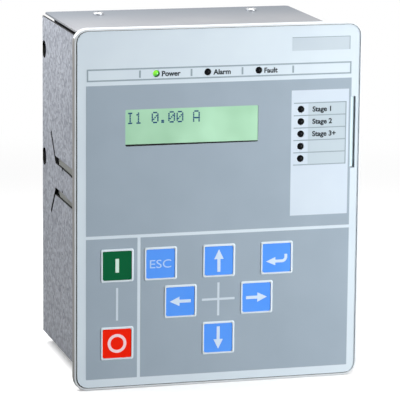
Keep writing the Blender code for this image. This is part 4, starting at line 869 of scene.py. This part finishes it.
def cut_slot(bm: BMesh, centre: Vector, axis: Vector, width: float, depth: float) -> None:
    """Cuts a screwdriver's slot into the flat end of a turned head.

    Args:
        bm: the head.
        centre: a point on its axis, in metres.
        axis: the way that its flat end faces.
        width: the slot's width in mm.
        depth: the slot's depth in mm.
    """
    across = Vector((1.0, 0.0, 1.0)).cross(axis).normalized()
    half = width / 2 * MM
    for side in (-half, half):
        whole = bm.verts[:] + bm.edges[:] + bm.faces[:]
        bmesh.ops.bisect_plane(bm, geom=whole, plane_co=centre + across * side, plane_no=across)
    bmesh.ops.recalc_face_normals(bm, faces=bm.faces)
    end = max(vert.co.dot(axis) for vert in bm.verts)
    floor = [face for face in bm.faces
             if abs((face.calc_center_median() - centre).dot(across)) < half
             and min(vert.co.dot(axis) for vert in face.verts) > end - SAME_PLACE]
    lowered = new_points(bmesh.ops.extrude_face_region(bm, geom=floor))
    bmesh.ops.translate(bm, verts=lowered, vec=-axis * depth * MM)


# Front


@dataclass(frozen=True)
class Ring:
    """A flat ring with round corners: its outer and inner box and radius, and its front and back depth."""

    outer: Box
    outer_corner: float
    inner: Box
    inner_corner: float
    depths: Point

    def plate(self, face: FrontFace) -> BMesh:
        """Makes the ring's mesh."""
        figure = Drawing().rectangle(self.outer, self.outer_corner).rectangle(self.inner, self.inner_corner)
        return figure.plate(face, *self.depths)


@dataclass
class OverlayEdge:
    """The groove round the overlay, which sits a little to the right in its pocket.

    On the left the groove is at its widest, and a black ring at its bottom paints the shade in it. Above and
    below the film it is thin, and on the right the film reaches nearly to the wall.
    """

    face: FrontFace
    groove_shade: Ring = Ring((-64.28, 64.28, -79.28, 79.28), 5.03, (-63.67, 63.67, -78.67, 78.67), 4.42,
                      (0.25, 0.88))
    film: Ring = Ring((-63.68, 64.29, -79.0, 79.04), 4.75, (-63.6, 63.6, -78.6, 78.6), 4.35, (0.0, 0.24))

    def lay(self) -> None:
        """Lays the black ring of painted shade in the groove and, in front of it, the edge of the film."""
        # Painted shade: a black ring at the bottom of the groove
        add_piece("overlay_groove_shade", self.groove_shade.plate(self.face), BLACK_SHADE)
        add_piece("overlay_film_edge", self.film.plate(self.face), FILM)


@dataclass
class OverlayPrint:
    """What is printed on the membrane overlay, as layers of ink a few hundredths thick.

    It takes the middles of the keys, of the status lamps and of the alarm lamps. Each box is its left,
    right, lower and upper edge. The ridge and the ring round a key are squares, each a size and a corner
    radius.
    """

    face: FrontFace
    keys: dict[str, Point]
    status: list[Point]
    alarms: list[Point]
    layer: float = 0.04
    sunk: float = 0.02
    ground: Box = (-59.8, 60.5, -75.4, 55.3)
    gap_height: float = -11.67
    gap_across: float = -35.98
    gap_width: float = 1.4
    slot: Place = (60.3, 14.8, 46.9)
    ridge: Point = (14.9, 0.9)
    ring_outside: Point = (14.3, 0.7)
    ring_inside: Point = (13.14, 0.5)
    ring_depths: Point = (-0.37, -0.02)
    lamp_hole: float = 1.55
    lamp_border: float = 2.1
    strip: Box = (-59.5, 60.3, 57.1, 62.6)
    line: float = 0.65
    ticks: tuple[float, ...] = (-35.9, -12.8, 10.25, 33.4)
    tick_ends: Point = (58.3, 61.5)
    tick_width: float = 0.8
    plate: Box = (32.9, 59.6, 68.0, 74.0)
    plate_line: float = 0.3
    panel: Box = (32.9, 59.4, -5.8, 50.4)
    rows: tuple[float, ...] = (44.65, 39.1, 33.55, 28.0, 22.5, 17.0)
    row_ends: Point = (34.0, 58.1)
    row_line: float = 0.45
    column: float = 40.7
    row_words: tuple[str, ...] = ("Stage 1", "Stage 2", "Stage 3+")
    status_words: tuple[str, ...] = ("Power", "Alarm", "Fault")
    word_height: float = 2.3
    word_weight: float = 0.038
    word_start: float = 42.6
    word_offset: float = 2.5
    breaker_line: Box = (-46.275, -45.325, -49.2, -34.5)
    cross: Point = (0.3, -41.9)
    cross_arm: float = 7.5
    cross_width: float = 1.0

    def add(self, name: str, drawing: Drawing, finish: Finish, level: int = 1) -> None:
        """Adds one printed layer.

        Args:
            name: the layer's name.
            drawing: its figure.
            finish: its ink.
            level: how many layers lie under it, and itself.
        """
        bm = drawing.plate(self.face, -level * self.layer, self.sunk)
        add_piece(name, bm, finish)

    def write(self, group: str, words: tuple[str, ...], starts: list[Point], level: int) -> None:
        """Prints words on top of the stated number of layers.

        Args:
            group: what the words belong to, for their names.
            words: the words.
            starts: each word's left end and the middle of its height.
            level: how many layers lie under them.
        """
        front = -(level + 1) * self.layer
        for number, (word, (x, z)) in enumerate(zip(words, starts), 1):
            bm = lettering(word, self.face, (x, z - self.word_height / 2), self.word_height, front, -front,
                           weight=self.word_weight)
            add_piece(f"lettering_{group}_{number}", bm, TEXT_INK)

    def print_fields(self) -> None:
        """Prints the three grey-blue fields, open at the window, the legend panel and the ridges."""
        half = self.gap_width / 2
        left, right, bottom, top = self.ground
        slot_left, slot_low, slot_high = self.slot
        low = self.gap_height + half
        corners = [(left, low), (right, low), (right, slot_low), (slot_left, slot_low),
                   (slot_left, slot_high), (right, slot_high), (right, top), (left, top)]
        upper = Drawing().outline(corners).rectangle(WINDOW, WINDOW_CORNER)
        self.add("print_field_display", upper.rectangle(self.panel), FIELD_INK)
        ends = {"breaker": (left, self.gap_across - half), "menu": (self.gap_across + half, right)}
        for name, (start, end) in ends.items():
            lower = Drawing().rectangle((start, end, bottom, self.gap_height - half))
            for middle in self.keys.values():
                if start < middle[0] < end:
                    lower.square(middle, *self.ridge)
            self.add(f"print_field_{name}", lower, FIELD_INK)

    def raise_rings(self) -> None:
        """Rounds the inner side of the ridges off, so that each closes on its key."""
        for name, middle in self.keys.items():
            figure = Drawing().square(middle, *self.ring_outside).square(middle, *self.ring_inside)
            bm = figure.plate(self.face, *self.ring_depths)
            add_piece(f"ridge_{name.removeprefix('key_')}", bm, FILM)

    def print_strip(self) -> None:
        """Prints the status strip's outline, its ticks, the borders of its lamps and its words."""
        left, right, low, high = self.strip
        line, half = self.line, self.tick_width / 2
        figure = Drawing().rectangle(self.strip)
        figure.rectangle((left + line, right - line, low + line, high - line))
        for place in self.ticks:
            figure.rectangle((place - half, place + half, *self.tick_ends))
        self.add("print_status_strip", figure, LINE_INK)
        borders = Drawing()
        for lamp in self.status:
            borders.circle(lamp, self.lamp_border).circle(lamp, self.lamp_hole)
        self.add("print_lamp_borders", borders, FILM)
        self.write("status", self.status_words, [(x + self.word_offset, z) for x, z in self.status], 1)

    def print_plate(self) -> None:
        """Prints the bare plate at the upper right, with a line along its top and right edge."""
        self.add("print_blank_plate", Drawing().rectangle(self.plate), PLATE_INK)
        left, right, low, high = self.plate
        x, z = right - self.plate_line, high - self.plate_line
        corners = [(left, high), (left, z), (x, z), (x, low), (right, low), (right, high)]
        self.add("print_blank_plate_line", Drawing().outline(corners), LINE_INK, 2)

    def print_panel(self) -> None:
        """Prints the legend panel: ground, tinted rows, lines and words."""
        ground = Drawing().rectangle(self.panel)
        for lamp in self.alarms:
            ground.circle(lamp, self.lamp_hole)
        self.add("print_legend_panel", ground, PANEL_INK)
        left, right = self.row_ends
        top, bottom, half = self.rows[0], self.rows[-1], self.row_line / 2
        self.add("print_legend_rows", Drawing().rectangle((self.column, right, bottom, top)), ROW_INK, 2)
        lines = Drawing()
        for height in self.rows:
            lines.rectangle((left, right - half, height - half, height + half))
        self.add("print_legend_lines", lines, LINE_INK, 3)
        edge = Drawing().rectangle((right - half, right + half, bottom - half, top + half))
        self.add("print_legend_edge", edge, LINE_INK, 3)
        self.write("legend", self.row_words, [(self.word_start, z) for _, z in self.alarms], 3)

    def print_guides(self) -> None:
        """Prints the line between the breaker keys and the cross between the arrow keys."""
        self.add("print_breaker_line", Drawing().rectangle(self.breaker_line), PALE_INK, 2)
        x, z = self.cross
        arm, half = self.cross_arm, self.cross_width / 2
        quarter = [(arm, half), (half, half), (half, arm)]
        corners = []
        for _ in range(4):
            corners += [(x + dx, z + dz) for dx, dz in quarter]
            quarter = [(-dz, dx) for dx, dz in quarter]
        self.add("print_cross", Drawing().outline(corners), PALE_INK, 2)


@dataclass
class Keypad:
    """The printed pads and symbols of the eight keys, which move with their caps."""

    face: FrontFace
    pad: Point = (13.0, 1.0)
    pad_front: float = -0.16
    pad_back: float = -0.08
    ink: float = 0.04
    bar: Box = (-0.8, 0.8, -3.1, 3.1)
    ring: Point = (4.25, 2.95)
    shaft: float = 1.4
    head: Point = (4.4, 4.3)
    lengths: Point = (10.2, 9.6)
    escape_height: float = 3.9
    escape_width: float = 9.7
    enter_length: float = 9.8
    enter_head: Point = (4.3, 3.7)
    enter_shaft: float = 1.3
    enter_bend: float = 1.8
    enter_rise: float = 3.1
    enter_steps: int = 6

    def arrow(self, quarter: int) -> list[Point]:
        """Gives the corners of an arrow round its middle.

        Args:
            quarter: how many quarter turns it stands from upright, to the left.

        Returns:
            Its corners; one that lies flat is a little shorter.
        """
        tip, half_head, half = self.lengths[quarter % 2] / 2, self.head[1] / 2, self.shaft / 2
        neck = tip - self.head[0]
        corners = [(0.0, tip), (-half_head, neck), (-half, neck), (-half, -tip),
                   (half, -tip), (half, neck), (half_head, neck)]
        turn = Matrix.Rotation(math.radians(90 * quarter), 2)
        return [tuple(turn @ Vector(corner)) for corner in corners]

    def enter_arrow(self) -> list[Point]:
        """Gives the outline of the arrow that comes down, bends and points left.

        Returns:
            Its corners.
        """
        half_length, half = self.enter_length / 2, self.enter_shaft / 2
        head_length, head_width = self.enter_head
        neck, base = head_length - half_length, -self.enter_rise / 2
        x, z = half_length - half - self.enter_bend, base + self.enter_bend
        turns = [math.radians(-90 + 90 * step / self.enter_steps) for step in range(self.enter_steps + 1)]
        outer, inner = ([(x + radius * math.cos(a), z + radius * math.sin(a)) for a in turns]
                        for radius in (self.enter_bend + half, self.enter_bend - half))
        top = base + self.enter_rise
        head = [(neck, base + half), (neck, base + head_width / 2), (-half_length, base),
                (neck, base - head_width / 2), (neck, base - half)]
        ends = [(half_length, top), (half_length - self.enter_shaft, top)]
        return head + outer + ends + inner[::-1]

    def symbol(self, name: str) -> tuple[Drawing, Finish]:
        """Draws a key's symbol round the drawing's origin.

        Args:
            name: the key's node.

        Returns:
            The figure and its ink.
        """
        if name == "key_on":
            return Drawing().rectangle(self.bar), GREEN_SYMBOL
        if name == "key_off":
            return Drawing().circle((0, 0), self.ring[0]).circle((0, 0), self.ring[1]), RED_SYMBOL
        if name == "key_enter":
            return Drawing().outline(self.enter_arrow()), BLUE_SYMBOL
        quarter = ("key_up", "key_left", "key_down", "key_right").index(name)
        return Drawing().outline(self.arrow(quarter)), BLUE_SYMBOL

    def dress(self, name: str, middle: Point) -> None:
        """Adds one key's pad and symbol.

        Args:
            name: the key's node.
            middle: the key's middle.
        """
        body, key = f"{name}_cap", name.removeprefix("key_")
        pads = {"key_on": (GREEN_INK, Slot.GREEN_KEY), "key_off": (RED_INK, Slot.RED_KEY)}
        pad_ink, slot = pads.get(name, (BLUE_INK, Slot.BLUE_KEY))
        finish_node(name, pad_ink)
        bm = Drawing().square(middle, *self.pad).plate(self.face, self.pad_front, self.pad_back)
        add_piece(f"pad_{key}", bm, pad_ink, body)
        front = self.pad_front - self.ink
        if name == "key_escape":
            start = (middle[0] - self.escape_width / 2, middle[1] - self.escape_height / 2)
            bm = lettering("ESC", self.face, start, self.escape_height, front, 2 * self.ink,
                           length=self.escape_width)
            ink = ESCAPE_SYMBOL
        else:
            figure, ink = self.symbol(name)
            bmesh.ops.translate(figure.bm, verts=figure.bm.verts, vec=(*middle, 0.0))
            bm = figure.plate(self.face, front, self.pad_front + self.ink)
        add_piece(f"symbol_{key}", bm, ink, body)


@dataclass
class Display:
    """The display's polariser with its characters, and a black strip under the window that is partly painted
    shade.

    A glyph is seven rows of five dots, from the top.
    """

    face: FrontFace
    message: str = "I1 0.00 A"
    glyphs: dict[str, str] = field(default_factory=lambda: {
        "I": "01110 00100 00100 00100 00100 00100 01110",
        "1": "00100 01100 00100 00100 00100 00100 01110",
        "0": "01110 10001 10011 10101 11001 10001 01110",
        ".": "00000 00000 00000 00000 00000 01100 01100",
        "A": "01110 10001 10001 10001 11111 10001 10001",
        " ": ""})
    glass_depths: Point = (0.15, 1.2)
    print_rise: float = 0.03
    gap: float = 0.02
    first_column: float = -41.4
    top_row: float = 42.8
    pitch: float = 3.72
    dot: float = 0.61
    dot_across: float = 0.62
    dot_down: float = 0.73
    strip_depths: Point = (0.06, 0.14)
    strip_widths: Point = (0.85, 0.55)

    def opening(self) -> Box:
        """Gives the box just inside the window."""
        left, right, low, high = WINDOW
        return (left + self.gap, right - self.gap, low + self.gap, high - self.gap)

    def lay_glass(self) -> None:
        """Lays the tinted polariser of the display into the opening, in front of the clear window."""
        figure = Drawing().rectangle(self.opening(), WINDOW_CORNER)
        add_piece("display_polariser", figure.plate(self.face, *self.glass_depths), LCD)

    def write_message(self) -> None:
        """Sets the message in dots on the front of the glass."""
        figure = Drawing()
        for number, character in enumerate(self.message):
            for row, bits in enumerate(self.glyphs[character].split()):
                for column, bit in enumerate(bits):
                    if bit == "1":
                        x = self.first_column + number * self.pitch + column * self.dot_across
                        figure.square((x, self.top_row - row * self.dot_down), self.dot)
        front = self.glass_depths[0]
        bm = figure.plate(self.face, front - self.print_rise, front + self.print_rise)
        add_piece("display_characters", bm, LCD_DOT)

    def shade_lower_edge(self) -> None:
        """Lays a black strip that tapers to the right along the window's lower edge, partly as painted shade.
        """
        left, right, low, _ = self.opening()
        start, end = self.strip_widths
        # Partly painted shade: black along the lower edge, narrower to the right where the light comes from
        figure = Drawing().outline([(left, low), (right, low), (right, low + end), (left, low + start)])
        bm = figure.plate(self.face, *self.strip_depths)
        add_piece("display_lower_edge_shade", bm, BLACK_SHADE)


@dataclass
class Lamps:
    """Turned lenses for the eight lamps, in the place of the plain ones."""

    face: FrontFace
    radius: float = 1.5
    collar: float = 1.95
    spacer: float = 2.3
    lens_back: float = 4.4
    collar_back: float = 5.4
    dome_steps: int = 8

    def profile(self, front: float, back: float) -> list[Point]:
        """Gives the lens's section from its tip to its spacer's back.

        Args:
            front: the tip's depth.
            back: the spacer's end.

        Returns:
            Radius and depth in mm.
        """
        turns = [math.radians(90 * step / self.dome_steps) for step in range(self.dome_steps + 1)]
        dome = [(self.radius * math.sin(a), front + self.radius * (1 - math.cos(a))) for a in turns]
        return dome + [(self.radius, self.lens_back), (self.collar, self.lens_back),
                       (self.collar, self.collar_back), (self.spacer, self.collar_back),
                       (self.spacer, back), (0.0, back)]

    def dress(self, node: str, lit: bool) -> None:
        """Replaces one lamp.

        Args:
            node: the lamp's node.
            lit: whether it glows.
        """
        low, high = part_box(node)
        middle = (low + high) / 2
        origin = Vector((middle.x, self.face.origin.y, middle.z))
        front, back = ((end.y - origin.y) / MM for end in (low, high))
        finish, slot = DARK_LENS, Slot.DARK_LAMP
        if lit:
            finish, slot = replace(LIT_LENS, middle=(middle.x, middle.z)), Slot.GREEN_LAMP
        bm = turned(self.profile(front, back), origin, Vector((0.0, 1.0, 0.0)))
        lens = add_piece(f"lens_{node}", bm, finish, smooth=True)
        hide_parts(node)


# Case, boards and terminals


@dataclass
class Housing:
    """Finishes of the pieces that keep their CAD shape, by the start of their names."""

    finishes: dict[str, Finish] = field(default_factory=lambda: {
        "front_frame": FRAME_PLASTIC, "display_holder": TRAY_PLASTIC, "panel_gasket": FOAM,
        "display_window": ACRYLIC, "display_glass": LCD, "legend_insert": CARD, "case_wrap": ZINC,
        "top_cover": COVER_SHEET, "bottom_cover": COVER_SHEET, "display_board": BOARD,
        "main_board": BOARD, "supply_board": BOARD, "ribbon_cable": CABLE, "power_transformer": FERRITE,
        "current_terminal_block": BLACK_NYLON, "output_socket": BLACK_NYLON,
        "supply_socket": BLACK_NYLON, "output_plug": GREEN_NYLON, "supply_plug": GREEN_NYLON,
        "earth_stud": STEEL, "earth_nut": STEEL, "current_transformer": RESIN,
        "output_relay": RELAY_COVER, "capacitor": SLEEVE, "switch": SWITCH_NYLON,
        "top_screw": STEEL, "bottom_screw": STEEL})

    def dress(self, overlay: Finish) -> None:
        """Gives each CAD node that stays its material.

        Args:
            overlay: the membrane overlay's finish.
        """
        finishes = {"membrane_overlay": overlay, **self.finishes}
        for name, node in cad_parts.items():
            for start, finish in finishes.items():
                if name.startswith(start):
                    finish_node(name, finish)
                    rounded_shading(node)


@dataclass
class RearTerminals:
    """Slotted steel screws in the current terminals and in the two plugs."""

    pitch: float = 10.0
    ways: int = 8
    head_radius: float = 3.15
    head_height: float = 2.32
    head_foot: float = 0.02
    head_shoulder: float = 0.92
    head_flat: float = 0.75
    well_depth: float = 7.5
    head_slot: Point = (0.9, 0.7)
    plugs: tuple[tuple[str, int], ...] = (("output_plug", 12), ("supply_plug", 3))
    plug_pitch: float = 5.08
    plug_screw_radius: float = 1.3
    plug_screw_height: float = 1.6
    plug_screw_sunk: float = 0.5
    plug_screw_from_rear: float = 3.5
    plug_screw_steps: int = 16
    plug_slot: Point = (0.5, 0.45)

    def set_row(self, name: str, middle: Vector, count: int, pitch: float, head: list[Point], axis: Vector,
                slot: Point, steps: int = 32) -> None:
        """Sets a row of slotted screws, one above the other.

        Args:
            name: the start of their names.
            middle: the middle of the row, in metres.
            count: how many they are.
            pitch: from one to the next, in mm.
            head: a head's section, as radius and height in mm.
            axis: the way that they face.
            slot: width and depth of the slot.
            steps: segments round a head.
        """
        for number in range(count):
            place = middle + Vector((0.0, 0.0, (number - (count - 1) / 2) * pitch * MM))
            bm = turned(head, place, axis, steps)
            cut_slot(bm, place, axis, *slot)
            add_piece(f"{name}_{number + 1}", bm, STEEL, smooth=True)

    def add_screws(self) -> None:
        """Caps each moulded stub in the current terminals with a slotted steel head."""
        low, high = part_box("current_terminal_block")
        radius, top, foot = self.head_radius, self.head_height, self.head_foot
        edge = radius / 4
        head = [(0.0, foot), (radius, foot), (radius, top - edge),
                (radius * self.head_shoulder, top - edge / 3), (radius * self.head_flat, top), (0.0, top)]
        middle = (low + high) / 2
        middle.y = high.y - self.well_depth * MM
        self.set_row("terminal_screw", middle, self.ways, self.pitch, head, Vector((0.0, 1.0, 0.0)),
                     self.head_slot)

    def add_plug_screws(self) -> None:
        """Sets a slotted screw in each wire clamp, on the plugs' side that faces the middle."""
        chamfer = self.plug_slot[0] / 4
        top, radius = -self.plug_screw_sunk, self.plug_screw_radius
        foot = top - self.plug_screw_height
        head = [(0.0, foot), (radius, foot), (radius, top - chamfer), (radius - chamfer, top), (0.0, top)]
        for plug, ways in self.plugs:
            low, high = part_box(plug)
            middle = Vector((low.x, high.y - self.plug_screw_from_rear * MM, (low.z + high.z) / 2))
            self.set_row(f"{plug}_screw", middle, ways, self.plug_pitch, head, Vector((-1.0, 0.0, 0.0)),
                         self.plug_slot, self.plug_screw_steps)


# Studio


@dataclass
class Softbox:
    """An area lamp: where it hangs in metres, its size and its power in watts."""

    name: str
    place: Place
    size: float
    power: float

    def hang(self, target: Vector) -> None:
        """Hangs the lamp so that it faces the target.

        Args:
            target: the point it faces.
        """
        light = bpy.data.lights.new(self.name, "AREA")
        light.shape = "SQUARE"
        light.size = self.size
        light.energy = self.power
        lamp = add_object(self.name, light)
        lamp.location = self.place
        lamp.rotation_euler = (target - lamp.location).to_track_quat("-Z", "Y").to_euler()


@dataclass
class Studio:
    """Camera, soft light, white surroundings and a plain pale floor."""

    face: FrontFace
    eye: Place = (-330.16, -1172.14, 246.84)
    yaw: float = 15.3465
    pitch: float = 11.3365
    roll: float = 0.5103
    lens: float = 254.125
    sensor: float = 36.0
    clip: Point = (0.01, 50.0)
    fill: float = 0.2
    floor_near: str = "F2F2F2"
    floor_bounce: str = "404040"
    floor_glow: float = 0.32
    floor_size: float = 8.0
    floor_reach: Point = (0.25, 0.6)
    lamps: tuple[Softbox, ...] = (
        Softbox("softbox_key", (0.45, -0.46, 0.11), 0.4, 6.4),
        Softbox("softbox_top", (0.1, 0.06, 0.8), 0.5, 3.2),
        Softbox("softbox_side", (-0.18, 0.05, 0.31), 0.2, 1.0),
    )

    def set_camera(self) -> None:
        """Puts the camera where the photograph was taken from."""
        data = bpy.data.cameras.new("camera")
        data.lens = self.lens
        data.sensor_width = self.sensor
        data.sensor_fit = "HORIZONTAL"
        data.clip_start, data.clip_end = self.clip
        camera = add_object("camera", data)
        place = Matrix.Translation(self.face.origin + Vector(self.eye) * MM)
        for angle, axis in ((-self.yaw, "Z"), (90 - self.pitch, "X"), (self.roll, "Z")):
            place @= Matrix.Rotation(math.radians(angle), 4, axis)
        camera.matrix_world = place
        bpy.context.scene.camera = camera

    def white_rays(self, tree: Tree) -> Socket:
        """Tells the rays that see the surroundings from those that light the part.

        Args:
            tree: the node tree.

        Returns:
            1 for rays from the camera, mirrors and glass, and 0 for others.
        """
        rays = add_node(tree, "ShaderNodeLightPath").outputs
        inputs = {0: rays["Is Camera Ray"], 1: rays["Is Glossy Ray"]}
        seen = add_node(tree, "ShaderNodeMath", inputs, operation="MAXIMUM").outputs[0]
        inputs = {0: seen, 1: rays["Is Transmission Ray"]}
        return add_node(tree, "ShaderNodeMath", inputs, operation="MAXIMUM").outputs[0]

    def set_world(self) -> None:
        """Makes the surroundings white to look at and softer as a light."""
        world = bpy.data.worlds.new("surroundings")
        bpy.context.scene.world = world
        world.use_nodes = True
        tree = world.node_tree
        tree.nodes.clear()
        seen, lit = (add_node(tree, "ShaderNodeBackground", {"Color": linear("FFFFFF"), "Strength": strength})
                     for strength in (1.0, self.fill))
        inputs = {0: self.white_rays(tree), 1: lit.outputs[0], 2: seen.outputs[0]}
        mixed = add_node(tree, "ShaderNodeMixShader", inputs)
        add_node(tree, "ShaderNodeOutputWorld", {"Surface": mixed.outputs[0]})

    def floor_material(self) -> bpy.types.Material:
        """Makes the floor's matt white, which fades into the surroundings with the distance.

        Returns:
            The material.
        """
        material = bpy.data.materials.new("matt_white_floor")
        material.use_nodes = True
        tree = material.node_tree
        tree.nodes.clear()
        seen = self.white_rays(tree)
        inputs = {0: seen, 6: linear(self.floor_bounce), 7: linear(self.floor_near)}
        tone = add_node(tree, "ShaderNodeMix", inputs, data_type="RGBA").outputs[2]
        matt = add_node(tree, "ShaderNodeBsdfDiffuse", {"Color": tone}).outputs[0]
        strength = add_node(tree, "ShaderNodeMath", {0: seen, 1: self.floor_glow}, operation="MULTIPLY")
        glow = add_node(tree, "ShaderNodeEmission", {"Strength": strength.outputs[0]}).outputs[0]
        near = add_node(tree, "ShaderNodeAddShader", {0: matt, 1: glow}).outputs[0]
        place = add_node(tree, "ShaderNodeTexCoord").outputs["Object"]
        distance = add_node(tree, "ShaderNodeVectorMath", {0: place}, operation="LENGTH").outputs["Value"]
        inputs = {"Value": distance, "From Min": self.floor_reach[0], "From Max": self.floor_reach[1]}
        share = add_node(tree, "ShaderNodeMapRange", inputs, interpolation_type="SMOOTHSTEP").outputs[0]
        inputs = {"Value": seen, "To Min": self.fill, "To Max": 1.0}
        level = add_node(tree, "ShaderNodeMapRange", inputs).outputs[0]
        far = add_node(tree, "ShaderNodeEmission", {"Strength": level}).outputs[0]
        both = add_node(tree, "ShaderNodeMixShader", {0: share, 1: near, 2: far}).outputs[0]
        add_node(tree, "ShaderNodeOutputMaterial", {"Surface": both})
        return material

    def build(self) -> None:
        """Sets up the camera, the surroundings, the floor and the lamps."""
        bpy.context.scene.view_settings.view_transform = "Standard"
        self.set_camera()
        self.set_world()
        bm = bmesh.new()
        bmesh.ops.create_grid(bm, x_segments=1, y_segments=1, size=self.floor_size / 2)
        floor = add_mesh("floor", bm, self.floor_material())
        for lamp in self.lamps:
            lamp.hang((CAD_LOW + CAD_HIGH) / 2)


# The relay


def middles(face: FrontFace, kind: str) -> dict[str, Point]:
    """Finds where the nodes of one kind sit on the front.

    Args:
        face: the front's plane.
        kind: how their names start.

    Returns:
        Each node's middle in mm, by name.
    """
    names = sorted(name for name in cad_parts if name.startswith(kind))
    return {name: face.local(sum(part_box(name), Vector()) / 2) for name in names}


def main() -> None:
    """Builds the relay's looks and its studio."""
    logging.basicConfig(level=logging.INFO, format="%(message)s")
    face = FrontFace.of_overlay("membrane_overlay", thickness=0.6)
    keys, status, alarms = (middles(face, kind) for kind in ("key_", "status_lamp", "alarm_lamp"))

    Studio(face).build()
    Housing().dress(replace(FILM, front=face.origin.y))
    OverlayEdge(face).lay()
    artwork = OverlayPrint(face, keys, list(status.values()), list(alarms.values()))
    artwork.print_fields()
    artwork.raise_rings()
    artwork.print_strip()
    artwork.print_plate()
    artwork.print_panel()
    artwork.print_guides()
    keypad = Keypad(face)
    for name, middle in keys.items():
        keypad.dress(name, middle)
    display = Display(face)
    display.lay_glass()
    display.write_message()
    display.shade_lower_edge()
    lamps = Lamps(face)
    for name in [*status, *alarms]:
        lamps.dress(name, lit=name == "status_lamp_1")
    terminals = RearTerminals()
    terminals.add_screws()
    terminals.add_plug_screws()


if __name__ == "__main__":
    main()
